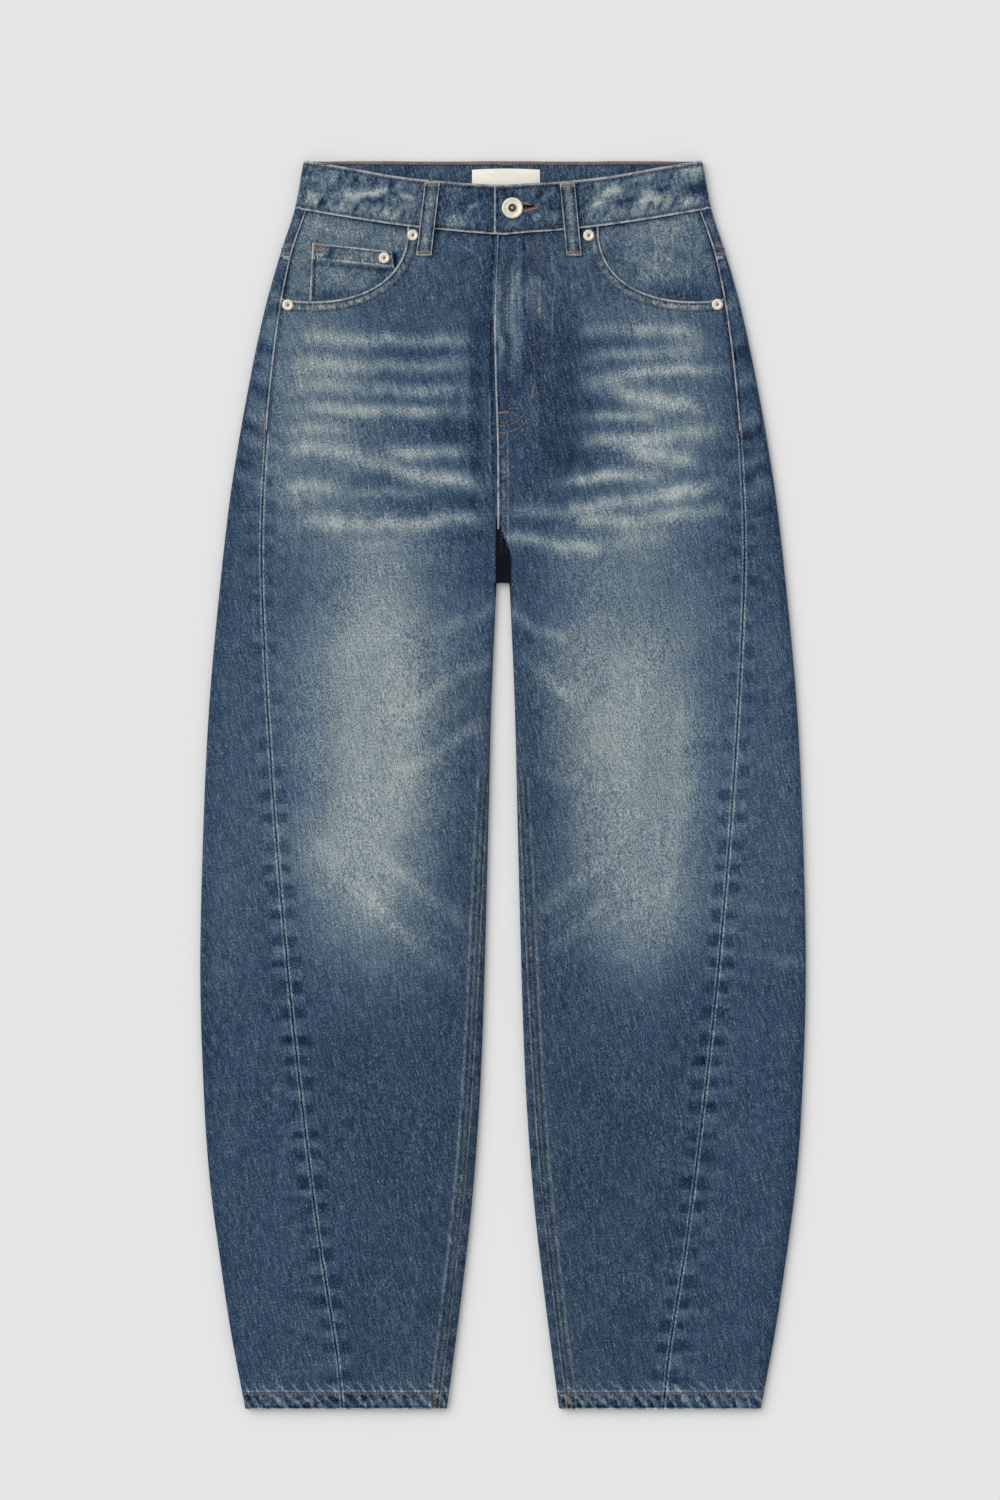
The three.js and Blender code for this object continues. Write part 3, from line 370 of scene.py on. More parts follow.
# Closed wall between two grids of points (rows, columns, 3); attributes hold (outer, inner) value grids.
# Cells marked in holes are left out, and walled round.
def shell(name, outer, inner, attributes, material, flip=False, holes=None):
    rows, columns = outer.shape[:2]
    vertices = np.concatenate([outer.reshape(-1, 3), inner.reshape(-1, 3)])
    index = np.arange(rows * columns).reshape(rows, columns)
    back = index + rows * columns

    def quads(a, b, c, d):
        return np.stack([a.ravel(), b.ravel(), c.ravel(), d.ravel()], axis=1)
    kept = np.ones((rows - 1, columns - 1), bool) if holes is None else ~holes
    faces = np.concatenate([
        quads(index[:-1, :-1], index[1:, :-1], index[1:, 1:], index[:-1, 1:])[kept.ravel()],
        quads(back[:-1, :-1], back[:-1, 1:], back[1:, 1:], back[1:, :-1])[kept.ravel()],
        quads(index[:-1, 0], back[:-1, 0], back[1:, 0], index[1:, 0]),
        quads(index[:-1, -1], index[1:, -1], back[1:, -1], back[:-1, -1]),
        quads(index[0, :-1], index[0, 1:], back[0, 1:], back[0, :-1]),
        quads(index[-1, :-1], back[-1, :-1], back[-1, 1:], index[-1, 1:])])
    if holes is not None:
        for r, c in np.argwhere(holes):
            sides = [((r, c), (r, c + 1), (-1, 0)), ((r, c + 1), (r + 1, c + 1), (0, 1)),
                     ((r + 1, c + 1), (r + 1, c), (1, 0)), ((r + 1, c), (r, c), (0, -1))]
            walls = [(index[b], index[a], back[a], back[b]) for a, b, (dr, dc) in sides if kept[r + dr, c + dc]]
            if walls:
                faces = np.concatenate([faces, walls])
    if flip:
        faces = faces[:, ::-1]
    values = {key: np.concatenate([np.broadcast_to(o, (rows, columns)).ravel(),
                                   np.broadcast_to(i, (rows, columns)).ravel()])
              for key, (o, i) in attributes.items()}
    return newMesh(name, vertices, faces.tolist(), values, material)


# Points (x, y, z) from half widths and distances down
def stack(half, down, z, side=1):
    half, down, z = np.broadcast_arrays(half, down, z)
    return np.stack([side * half, jeans["length"] / 2 - down, z], axis=-1)


# Shader helpers

def place(tree, kind, inputs=None, **settings):
    made = tree.nodes.new(kind)
    for key, value in settings.items():
        setattr(made, key, value)
    for key, value in (inputs or {}).items():
        target = made.inputs[key]
        if isinstance(value, bpy.types.NodeSocket):
            tree.links.new(value, target)
        else:
            target.default_value = value
    return made


def calc(tree, operation, *values):
    made = place(tree, "ShaderNodeMath", dict(enumerate(values)), operation=operation)
    return made.outputs[0]


def smoothRange(tree, value, low, high, fromValue=0.0, toValue=1.0):
    made = place(tree, "ShaderNodeMapRange", {"Value": value, "From Min": low, "From Max": high,
                                              "To Min": fromValue, "To Max": toValue},
                 interpolation_type="SMOOTHSTEP")
    return made.outputs["Result"]


# Noise on coordinates in metres, with its own size in millimetres along X, Y and Z
def grain(tree, coordinates, size, detail=2.0, roughness=0.5, turn=0.0, shift=0.0):
    if turn:
        turned = place(tree, "ShaderNodeMapping", {"Vector": coordinates,
                                                   "Rotation": (0, 0, math.radians(turn))})
        coordinates = turned.outputs[0]
    scaled = place(tree, "ShaderNodeMapping", {"Vector": coordinates, "Location": (shift, shift * 0.7, 0),
                                               "Scale": tuple(1000 / s for s in size)})
    made = place(tree, "ShaderNodeTexNoise", {"Vector": scaled.outputs[0], "Scale": 1.0, "Detail": detail,
                                              "Roughness": roughness})
    return made.outputs[0]


def linear(rgb):
    def one(c):
        c = c / 255
        return c / 12.92 if c <= 0.04045 else ((c + 0.055) / 1.055) ** 2.4
    return tuple(one(c) for c in rgb) + (1.0,)


def group(name, inputs, outputs):
    tree = bpy.data.node_groups.new(name, "ShaderNodeTree")
    for label, kind, value in inputs:
        made = tree.interface.new_socket(label, in_out="INPUT", socket_type=kind)
        if value is not None:
            made.default_value = value
    for label, kind in outputs:
        tree.interface.new_socket(label, in_out="OUTPUT", socket_type=kind)
    return tree, tree.nodes.new("NodeGroupInput").outputs, tree.nodes.new("NodeGroupOutput").inputs


def blend(tree, share, first, second, mode="MIX"):
    made = place(tree, "ShaderNodeMix", {0: share, 6: first, 7: second}, data_type="RGBA", blend_type=mode)
    return made.outputs[2]


# What a user would change about the cloth's colour: sRGB for each step of the wash
denimLook = dict(
    wash=[(0.00, (8, 13, 22)), (0.04, (27, 43, 65)), (0.10, (32, 50, 73)), (0.20, (47, 68, 91)),
          (0.30, (63, 82, 106)), (0.45, (86, 105, 123)), (0.60, (111, 127, 137)), (0.75, (139, 151, 153)),
          (0.90, (159, 169, 171)), (1.00, (178, 185, 187))],
    edge=(188, 188, 190), hemBottom=-529.5, hemPitch=10.5,
    fineGrain=0.92, slub=0.46, mottle=0.12, cloud=0.13, twill=0.10, specks=0.34,
    roughness=0.92, bumpDepth=0.00022)


# Washed denim: twill, warp slubs, pale specks, worn edges and the pale lines beside a pressed-open seam
def denimGroup():
    tree, given, out = group("washedDenim", [
        ("Coordinates", "NodeSocketVector", None), ("Tone", "NodeSocketFloat", 0.2),
        ("Rim", "NodeSocketFloat", 99.0), ("Seam", "NodeSocketFloat", 99.0), ("Blotch", "NodeSocketFloat", 0.0),
        ("Pale", "NodeSocketFloat", 99.0), ("Dark", "NodeSocketFloat", 99.0), ("Grey", "NodeSocketFloat", 0.0),
    ], [("Color", "NodeSocketColor"), ("Height", "NodeSocketFloat"), ("Roughness", "NodeSocketFloat")])
    look = denimLook
    where = given["Coordinates"]
    fine = grain(tree, where, (0.9, 1.6, 1.4), 0.6, 0.6)
    slub = grain(tree, where, (1.5, 14, 6), 1.5, 0.5, turn=-14, shift=3.1)
    spots = grain(tree, where, (5.5, 8, 6), 2.0, 0.55, shift=5.3)
    cloud = grain(tree, where, (38, 55, 40), 2.0, 0.5, shift=7.7)
    dashes = grain(tree, where, (1.15, 4.4, 2.2), 1.0, 0.4, turn=-22, shift=9.2)
    blotchA = grain(tree, where, (15, 5.5, 9), 2.0, 0.55, turn=-24, shift=11.4)
    blotchB = grain(tree, where, (6, 10, 9), 1.5, 0.5, turn=18, shift=13.8)
    ticks = grain(tree, where, (3.0, 3.6, 3.4), 0.5, 0.5, shift=15.1)

    def times(a, b):
        return calc(tree, "MULTIPLY", a, b)

    def plus(a, b):
        return calc(tree, "ADD", a, b)

    # first + mask * strength
    def adding(first, mask, strength):
        return calc(tree, "MULTIPLY_ADD", mask, strength, first)

    def centred(value, strength):
        return times(calc(tree, "SUBTRACT", value, 0.5), strength)

    def rising(value, low, high, fromValue=0.0, toValue=1.0):
        return smoothRange(tree, value, low, high, fromValue, toValue)

    def falling(value, low, high):
        return smoothRange(tree, value, low, high, 1.0, 0.0)

    plain = given["Tone"]
    axes = place(tree, "ShaderNodeSeparateXYZ", {0: where})
    across, upward = times(axes.outputs[0], 1000 / 1.68), times(axes.outputs[1], 1000 / 3.1)
    phase = plus(calc(tree, "SUBTRACT", across, upward), times(spots, 0.9))
    twill = calc(tree, "SINE", times(phase, 6.2832))
    coarse = plus(centred(slub, look["slub"]), centred(spots, look["mottle"]))
    weave = times(centred(fine, look["fineGrain"]), rising(plain, 0.2, 0.7, 1.0, 1.2))
    weave = adding(weave, coarse, rising(plain, 0.2, 0.5, 1.35, 1.05))
    weave = calc(tree, "MAXIMUM", weave, times(weave, rising(plain, 0.2, 0.6, 0.5, 1.0)))
    tone = plus(plus(plain, weave), centred(cloud, look["cloud"]))
    tone = adding(tone, times(twill, rising(plain, 0.25, 0.75, 0.45, 1.0)), look["twill"])
    speck = times(rising(dashes, 0.63, 0.78), rising(plain, 0.1, 0.5, 1.0, 0.2))
    tone = adding(tone, speck, look["specks"])
    patches = plus(plus(centred(blotchA, 1.4), centred(blotchB, 0.9)), centred(ticks, 1.5))
    tone = adding(tone, patches, given["Blotch"])
    tone = calc(tree, "MAXIMUM", tone, calc(tree, "MINIMUM", plain, 0.035))

    # worn edge: a pale broken line, with a darker band behind it
    rim = given["Rim"]
    broken = rising(spots, 0.3, 0.62, 0.3, 1.0)
    edge = times(falling(rim, 0.9, 1.8), broken)
    tone = adding(tone, edge, 0.30)
    tone = adding(tone, times(rising(rim, 1.5, 2.3), falling(rim, 2.9, 4.2)), -0.15)

    # pressed-open seam: a dark valley between two pale ridges
    off = calc(tree, "ABSOLUTE", given["Seam"])
    ridge = times(rising(off, 0.5, 1.35), falling(off, 1.7, 2.7))
    tone = adding(tone, times(ridge, rising(fine, 0.3, 0.62, 0.45, 1.0)), 0.38)
    tone = adding(tone, falling(off, 0.2, 0.9), -0.14)

    # hem: slanting ridges, short dashes above it and a pale line where its upper edge wore
    hemUp = adding(-look["hemBottom"], axes.outputs[1], 1000)
    slanted = adding(times(axes.outputs[0], 1000), hemUp, 0.75)
    turns = adding(times(spots, 0.9), slanted, 1 / look["hemPitch"])
    rope = calc(tree, "SINE", times(adding(turns, cloud, 2.5), 6.2832))
    tone = adding(tone, falling(hemUp, 12.4, 13.4), rising(rope, -0.4, 0.9, -0.05, 0.22))
    above = times(rising(hemUp, 13.5, 15), falling(hemUp, 17, 27))
    tone = adding(tone, times(rising(rope, 0.55, 0.98), above), 0.30)
    fromLine = calc(tree, "ABSOLUTE", calc(tree, "SUBTRACT", hemUp, 15.4))
    tone = adding(tone, falling(fromLine, 0.4, 1.4), 0.20)

    # thin lines: distances from the nearest pale crease and dark line; the dark lines are partly painted shadow
    # along the fly's edge
    paleOff, darkOff = (calc(tree, "ABSOLUTE", given[key]) for key in ("Pale", "Dark"))
    tone = adding(tone, times(falling(paleOff, 0.3, 1.5), broken), 0.22)
    tone = adding(tone, falling(darkOff, 0.2, 2.6), -0.13)

    ramp = place(tree, "ShaderNodeValToRGB", {"Fac": tone})
    stops = ramp.color_ramp.elements
    while len(stops) < len(look["wash"]):
        stops.new(0.5)
    for stop, (position, rgb) in zip(stops, look["wash"]):
        stop.position = position
        stop.color = linear(rgb)
    dusty = blend(tree, given["Grey"], ramp.outputs[0], (1.06, 0.98, 0.87, 1), "MULTIPLY")
    tree.links.new(blend(tree, times(edge, 0.60), dusty, linear(look["edge"])), out["Color"])
    tree.links.new(plus(times(twill, 0.3), times(fine, 1.2)), out["Height"])
    tree.links.new(rising(fine, 0.2, 0.8, look["roughness"] + 0.05, look["roughness"] - 0.06), out["Roughness"])
    return tree


def material(name, metallic=0.0, specular=0.18, sheen=0.0):
    made = bpy.data.materials.new(name)
    made.use_nodes = True
    tree = made.node_tree
    shader = tree.nodes["Principled BSDF"]
    shader.inputs["Metallic"].default_value = metallic
    shader.inputs["Specular IOR Level"].default_value = specular
    shader.inputs["Sheen Weight"].default_value = sheen
    where = place(tree, "ShaderNodeTexCoord").outputs["Object"]
    return made, tree, shader, where


def bumpInto(tree, shader, height, distance, strength):
    made = place(tree, "ShaderNodeBump", {"Height": height, "Distance": distance, "Strength": strength})
    tree.links.new(made.outputs[0], shader.inputs["Normal"])


def denimMaterial(name, cloth):
    made, tree, shader, where = material(name, specular=0.12, sheen=0.04)
    shader.inputs["Sheen Roughness"].default_value = 0.5
    keys = ("Tone", "Rim", "Seam", "Blotch", "Pale", "Dark", "Grey")
    given = {key: place(tree, "ShaderNodeAttribute", attribute_name=key.lower()).outputs["Fac"] for key in keys}
    look = place(tree, "ShaderNodeGroup", {"Coordinates": where, **given}, node_tree=cloth).outputs
    tree.links.new(look["Color"], shader.inputs["Base Color"])
    tree.links.new(look["Roughness"], shader.inputs["Roughness"])
    bumpInto(tree, shader, look["Height"], denimLook["bumpDepth"], 0.6)
    return made


def threadMaterial(name, strong, faded):
    made, tree, shader, where = material(name, specular=0.25)
    shader.inputs["Roughness"].default_value = 0.62
    wear = grain(tree, where, (7, 9, 7), 2.0, 0.6)
    twist = grain(tree, where, (0.35, 0.35, 0.3), 1.0, 0.5)
    amount = smoothRange(tree, calc(tree, "MULTIPLY_ADD", twist, 0.35, wear), 0.45, 0.9)
    tree.links.new(blend(tree, amount, linear(strong), linear(faded)), shader.inputs["Base Color"])
    bumpInto(tree, shader, twist, 0.0002, 0.5)
    return made


metalLook = dict(bright=(234, 227, 210), dull=(204, 194, 170), recess=(74, 62, 50), roughness=0.42)
patchLook = dict(cream=(246, 241, 229), shade=(236, 230, 216))


def metalMaterial():
    made, tree, shader, where = material("agedNickel", metallic=0.35, specular=0.5)
    stain = grain(tree, where, (2.2, 2.2, 1.2), 3.0, 0.6)
    scratch = grain(tree, where, (0.5, 2.5, 0.5), 2.0, 0.5, turn=35)
    bright, dull, recess = (linear(metalLook[key]) for key in ("bright", "dull", "recess"))
    colour = blend(tree, smoothRange(tree, stain, 0.35, 0.75), bright, dull)
    # darker by a per-vertex amount towards the middle and recessed ring of the button and rivets
    dirt = place(tree, "ShaderNodeAttribute", attribute_name="dirt").outputs["Fac"]
    tree.links.new(blend(tree, smoothRange(tree, dirt, 0.3, 1.0), colour, recess), shader.inputs["Base Color"])
    tree.links.new(smoothRange(tree, scratch, 0.2, 0.8, metalLook["roughness"] - 0.08,
                               metalLook["roughness"] + 0.2), shader.inputs["Roughness"])
    bumpInto(tree, shader, scratch, 0.00008, 0.4)
    return made


def patchMaterial():
    made, tree, shader, where = material("creamPatch", specular=0.2)
    shader.inputs["Roughness"].default_value = 0.8
    weave = grain(tree, where, (0.5, 0.35, 0.5), 1.0, 0.5)
    soft = grain(tree, where, (9, 6, 6), 2.0, 0.5)
    amount = calc(tree, "MULTIPLY_ADD", calc(tree, "SUBTRACT", weave, 0.5), 0.5, soft)
    colour = blend(tree, smoothRange(tree, amount, 0.3, 0.85), linear(patchLook["cream"]),
                   linear(patchLook["shade"]))
    tree.links.new(colour, shader.inputs["Base Color"])
    bumpInto(tree, shader, weave, 0.00015, 0.5)
    return made


denim = denimMaterial("blueDenim", denimGroup())
copperThread = threadMaterial("copperThread", (170, 116, 80), (138, 110, 94))
tanThread = threadMaterial("tanThread", (116, 98, 92), (94, 90, 96))
fadedThread = threadMaterial("fadedThread", (150, 124, 108), (126, 112, 106))
bindingThread = threadMaterial("bindingThread", (148, 128, 116), (120, 104, 98))
darkThread = threadMaterial("darkThread", (36, 34, 44), (84, 74, 78))
metal = metalMaterial()
cream = patchMaterial()
print("materials made")


# Relief of the front face, in millimetres: soft undulation, and a low ridge under every whisker
def creases(x, down):
    soft = (0.16 * np.sin(x / 11.0 + down / 37.0 + 0.6) + 0.14 * np.sin(x / 17.0 - down / 29.0)
            + 0.12 * np.sin(down / 13.0 + 1.7 * np.sin(x / 31.0)))
    total = soft * smooth(60, 110, down)
    for x1, d1, x2, d2, width, strength in whiskers:
        total = total + 1.7 * strength * strokeMask(x, down, x1, d1, x2, d2, width * 0.85)
    return total


# A grid's inner side, moved in along the normal of the section at each point
def innerSide(half, down, z, angle, towards, wall, side):
    across = towards * np.cos(angle) / jeans["foldReach"]
    upward = np.sin(angle) / (jeans["legHeight"] / 2)
    size = np.hypot(across, upward)
    return stack(half - wall * across / size, down, z - wall * upward / size, side)


def wallAt(down):
    return jeans["wall"] + 0.8 * hemShare(down)


# Front pocket mouth: a point on it for a share of its length, moved out by a distance
def mouthExact(share):
    turn = np.clip(share / mouth["curved"], 0, 1) * np.pi / 2
    half = mouth["half"] - mouth["across"] * np.cos(turn) ** (2 / mouth["power"])
    down = mouth["down"] + mouth["deep"] * np.sin(turn) ** (2 / mouth["power"])
    past = np.clip((share - mouth["curved"]) / (1 - mouth["curved"]), 0, 1)
    deepest = mouth["down"] + mouth["deep"]
    half = np.where(share > mouth["curved"], mix(mouth["half"], outseam(deepest), past), half)
    down = np.where(share > mouth["curved"], deepest - mouth["endRise"] * past ** 2, down)
    return half, down


def mouthPoint(share, out):
    half, down = mouthExact(share)
    ax, ad = mouthExact(np.maximum(0, share - 0.02))
    bx, bd = mouthExact(np.minimum(1, share + 0.02))
    run = np.hypot(bx - ax, bd - ad)
    return half - out * (bd - ad) / run, down + out * (bx - ax) / run


def mouthLevel(half, down):
    across = np.maximum(0, (mouth["half"] - half) / mouth["across"])
    deep = np.maximum(0, (down - mouth["down"]) / mouth["deep"])
    return np.minimum(1, (across ** mouth["power"] + deep ** mouth["power"]) ** (1 / mouth["power"]))


def facingFace(side, half, down):
    deepest = facing["left"] if side > 0 else facing["right"]
    drop = mix(facing["shallow"], deepest, smooth(0.1, 0.86, mouthLevel(half, down)))
    return topFace(side * half, down) - drop


# Felled seam: a flat band between its two edges, slightly puckered
felledSeam = dict(width=9.5, rise=0.55)

# where seams change on the way down
seamFrom = dict(open=231, felled=430, felledFull=560, lines=520)


def felled(distance, along, seed, width=None):
    width = width or felledSeam["width"]
    band = smooth(0, 0.7, distance) * (1 - smooth(width - 0.5, width + 0.5, distance))
    return band * (felledSeam["rise"] + 0.12 * wave(along, seed, 9))


def felledTone(distance, along, seed, width=None):
    width = width or felledSeam["width"]
    inside = smooth(0.3, 1.2, distance) * (1 - smooth(width - 1.6, width - 0.6, distance))
    edges = bump(distance, 0.6, 0.9) + bump(distance, width + 0.4, 1.1)
    ticks = smooth(0.1, 0.8, wave(along, seed + 1.3, 6.5)) * bump(distance, width * 0.5, width * 0.25)
    return 0.06 * edges * (0.75 + 0.35 * wave(along, seed, 14)) + 0.08 * inside + 0.10 * ticks


# Distance from a felled seam's pale borders, positive between them
def felledLines(distance, width=None):
    width = width or felledSeam["width"]
    off = np.minimum(distance - 0.5, width - 0.1 - distance)
    return np.where(np.abs(off) > 5, 99.0, off)


# Distance from the two rows of stitches of a felled seam
def felledRows(distance):
    off = 1.7 * np.minimum(distance - 2.5, 6.6 - distance)
    return np.where(np.abs(off) > 6, 99.0, off)


# Share of the felled inseam that stands out, and share of the outseam that is pressed open
def felledShare(down):
    return smooth(seamFrom["felled"], seamFrom["felledFull"], down)


def openShare(down):
    return smooth(228, 236, down)


# Depth of an outseam's valley, less its low ridge
def seamDip(off):
    return np.exp(-(off / 1.6) ** 2) * 0.5 - np.exp(-((off - 3.2) / 1.8) ** 2) * 0.18


# At a hem: distance from its edge, share inside it and height of its roping
def hemRope(x, down, seed):
    off = jeans["length"] - down
    inside = 1 - smooth(12.5, 14.5, off)
    return off, inside, inside * 0.28 * wave(x + 0.75 * off, seed, 11.5) * smooth(0, 2, off)


def sided(name, side):
    return name + ("_left" if side > 0 else "_right")


quarterArc = 7.1        # length round a quarter of a fold
legRows = np.concatenate([np.arange(150, 356.5, 2.9), [357.9, 358.1], np.arange(360.5, 1038, 2.9),
                          np.arange(1039.5, 1059.01, 1.3)])[::thin]
legRows = np.unique(np.concatenate([legRows, [357.9, 358.1, 1059.0]]))


def frontStart(side, down):
    lap = np.where(down < fly["bottom"] + 4, fly["lap"], -jeans["seamGap"] / 2)
    return centreFront(down) + jeans["seamGap"] / 2 if side > 0 else -centreFront(down) - lap


def foldAngle(distance):
    return np.arccos(1 - np.clip(distance / jeans["foldReach"], 0, 1))


# Painted shadow on the cloth to the right of the front belt loops and just below their lower ends
def loopShade(x, down):
    total = 0
    for topX, bottomX, top, bottom in frontLoops.values():
        edge = mix(topX, bottomX, (down - top) / (bottom - top)) + loop["width"] / 2
        beside = np.where(x > edge - 5, np.exp(-np.maximum(0, x - edge) / 2.2), 0)
        below = np.exp(-np.maximum(0, down - bottom) / 1.8) * (x > edge - loop["width"])
        total = total + np.where(down > bottom, beside * below, beside) * smooth(top, top + 4, down)
    return total


# Height of a front panel's face, before its seams and hem
def frontFace(side, half, down):
    x = side * half
    full = fullness(half, down)
    z = topFace(x, down) + full * creases(x, down)
    if side > 0:
        z = z + flyRise(x, down)
    return z


flyWornTo = 314


def frontPanel(side):
    seed = 2.3 if side > 0 else 7.9
    share = spread(76 // thin, 0.45)
    last = len(share) - 1
    gap = jeans["seamGap"] / 2
    reach = jeans["foldReach"]

    # above the crotch: from the fly or centre seam to the outseam
    level = 138.0
    levelHalf = mix(frontStart(side, level), outseam(level) - gap, share)
    corner = int(np.argmin(np.abs(levelHalf - 75)))
    start = mouth["half"] - mouth["across"]
    waistHalf = mix(frontStart(side, mouth["down"]), start, share[:corner + 1] / share[corner])
    waistDown = bandBottomFront(np.abs(waistHalf)) + jeans["seamGap"]
    fan = smooth(start - 15, start, waistHalf) * np.pi / 2
    along = np.arange(1, last - corner + 1) / (last - corner)
    offsets = [0, 0.3, 0.8, 1.6, 2.8, 4.2, 5.6, 7, 7.9, 8.5, 9.1, 10]
    halfRows, downRows, bandRows = [], [], []
    between = 27 // thin        # rows from the mouth's hem to the level row
    for out in offsets:
        mh, md = mouthPoint(along, out)
        halfRows.append(np.concatenate([waistHalf - out * np.sin(fan), mh]))
        downRows.append(np.concatenate([waistDown + out * np.cos(fan), md]))
        bandRows.append(np.full(last + 1, float(out)))
    for t in np.linspace(0, 1, between)[1:]:
        halfRows.append(mix(halfRows[len(offsets) - 1], levelHalf, t))
        downRows.append(mix(downRows[len(offsets) - 1], level, t))
        bandRows.append(np.full(last + 1, 10.0 + 40 * t))
    half, down = np.array(halfRows), np.array(downRows)
    half = half + (outseam(down[:, -1:]) - gap - half[:, -1:]) * smooth(0.8, 1, share)
    mouthOff = np.array(bandRows)
    onMouth = np.concatenate([smooth(start - 15, start - 2, waistHalf), np.ones(last - corner)])

    rows = np.concatenate([np.arange(141, 149, 3), legRows])[:, None]
    upper = rows < jeans["crotch"]
    roll = inseamRoll(rows)
    inner = innerEdge(rows)
    endHalf = outseam(rows) - gap
    begin = quarterArc * foldAngle(roll) / (np.pi / 2) + np.maximum(0, roll - reach) + gap
    finish = quarterArc + endHalf - inner - reach
    arc = mix(begin, finish, share)
    angle = np.clip(arc / quarterArc, 0, 1) * np.pi / 2
    legHalf = inner + reach * (1 - np.cos(angle)) + np.maximum(0, arc - quarterArc)
    flat = mix(frontStart(side, rows), endHalf, share)
    half = np.concatenate([half, np.where(upper, flat, legHalf)])
    down = np.concatenate([down, np.broadcast_to(rows, (len(rows), last + 1))])
    angle = np.concatenate([np.full((len(offsets) + between - 1, last + 1), np.pi / 2),
                            np.where(upper, np.pi / 2, angle)])
    fromSeam = np.concatenate([np.full_like(mouthOff, 99.0), np.where(upper, 99.0, arc - begin)])
    mouthOff = np.concatenate([mouthOff, np.full((len(rows), last + 1), 99.0)])

    x = side * half
    z = frontFace(side, half, down)
    base = z.copy()
    band = smooth(0, 0.6, mouthOff) * (1 - smooth(8.0, 8.8, mouthOff)) * onMouth
    s = np.concatenate([np.zeros(corner + 1), along * 150])[None, :]
    z = z + band * (mouth["rise"] + 0.16 * wave(s, seed, 7))
    z = z + felledShare(down) * felled(fromSeam, down, seed)
    outOff = outseam(down) - half
    busted = openShare(down)
    z = z - seamDip(outOff) * (0.4 + 0.6 * busted)
    pucker = wave(down, seed + 4, 21) * np.exp(-((outOff - 7) / 5) ** 2) * busted
    z = z + 0.3 * pucker

    centreOff = x - centreFront(down)
    tone = legWash(x, down)
    tone = tone - 0.19 * seamBlotches(outOff, down, seed + 4) * busted
    tone = tone + felledShare(down) * felledTone(fromSeam, down, seed) * (fromSeam < 30)
    ladder = (smooth(0.1, 0.8, np.sin(s / 1.05 + wave(s, seed, 19)))
              * smooth(70, 90, s) * bump(mouthOff, 5.0, 1.7))
    tone = tone + band * (0.14 + 0.40 * ladder) - 0.16 * bump(mouthOff, 8.6, 1.1) * onMouth
    sideEdge = np.where(down < seamFrom["open"], outOff, 99.0)
    tone = tone - 0.26 * bump(sideEdge, 0.2, 1.5)
    # painted shadow just below the waistband's lower edge, and painted shadow beside the front belt loops
    underBand = down - bandBottomFront(np.abs(x))
    tone = tone - 0.34 * np.exp(-np.maximum(0, underBand) / 2.2) - 0.28 * loopShade(x, down)
    tone = tone + 0.06 * bump(mouthOff, 10.5, 2.2) * onMouth
    rim = np.where(onMouth > 0.4, mouthOff, 99.0)
    if side > 0:
        seamZone = smooth(225, 240, down) * (down < jeans["crotch"])
        z = z + seamZone * felled(centreOff, down, 5.1, 9.0) * (1 - smooth(320, 350, down))
        tone = tone + seamZone * felledTone(centreOff, down, 5.1, 9.0)
        rim = np.minimum(rim, np.where(down < flyWornTo, centreOff, 99.0))
    else:
        # painted shade on the wearer's right panel beside and under the fly's edge
        tone = tone - 0.10 * bump(-x - 1, 0, 5) * smooth(70, 90, down) * (down < jeans["crotch"])
    hemOff, inHem, roping = hemRope(x, down, seed + 2)
    z = z + roping
    rim = np.minimum(rim, hemOff + 0.3)
    # painted shade darkens the hollow between the legs here
    tone = np.clip(tone, -0.6, 1) - 1.1 * crotchShade(x, down)
    seam = np.where(down > seamFrom["open"], outOff, 99.0)
    inFell = felledShare(down) * smooth(0.6, 1.6, fromSeam) * (1 - smooth(8.6, 9.6, fromSeam))
    inCentre = smooth(0.6, 1.6, centreOff) * (1 - smooth(7.5, 9, centreOff)) * smooth(225, 240, down)
    inCentre = inCentre * (down < 352) if side > 0 else 0
    blotch = (0.05 + 0.08 * (1 - smooth(110, 150, down)) + 0.25 * inHem + 0.20 * band + 0.09 * inFell
              + 0.24 * inCentre)

    outer = stack(half, down, z, side)
    innerGrid = innerSide(half, down, base, angle, -1, wallAt(down), side)
    pale = lineField(x, down, paleLines)
    pale = np.where(down > seamFrom["lines"], felledLines(fromSeam), pale)
    if side > 0:
        onCentre = (down > seamFrom["open"]) & (down < 322) & (centreOff < 12)
        pale = np.where(onCentre, felledLines(centreOff, 9.0), pale)
    dark = np.where(down > seamFrom["lines"], felledRows(fromSeam), lineField(x, down, flyShadowAndDarkLines))
    grey = np.clip(greyShare(x, down) + 0.45 * inFell + 0.4 * band + 0.15 * inCentre, 0, 1)
    values = {"tone": (tone, 0.42), "rim": (rim, 99.0), "seam": (seam, 99.0), "blotch": (blotch, 0.1),
              "pale": (pale, 99.0), "dark": (dark, 99.0), "grey": (grey, 0.0)}
    name = sided("front_panel", side)
    return name, shell(name, outer, innerGrid, values, denim, flip=side < 0)


# Back pieces wrap forward over the outer fold: strip on top, fold, underside, and the inner fold by the inseam
backLook = dict(strip=26, fold=16, under=16, seat=14, inner=12, base=0.24)


def yokeSeamAt(share):
    return mix(yokeSeam["side"], yokeSeam["centre"], smooth(0.22, 1.15, share))


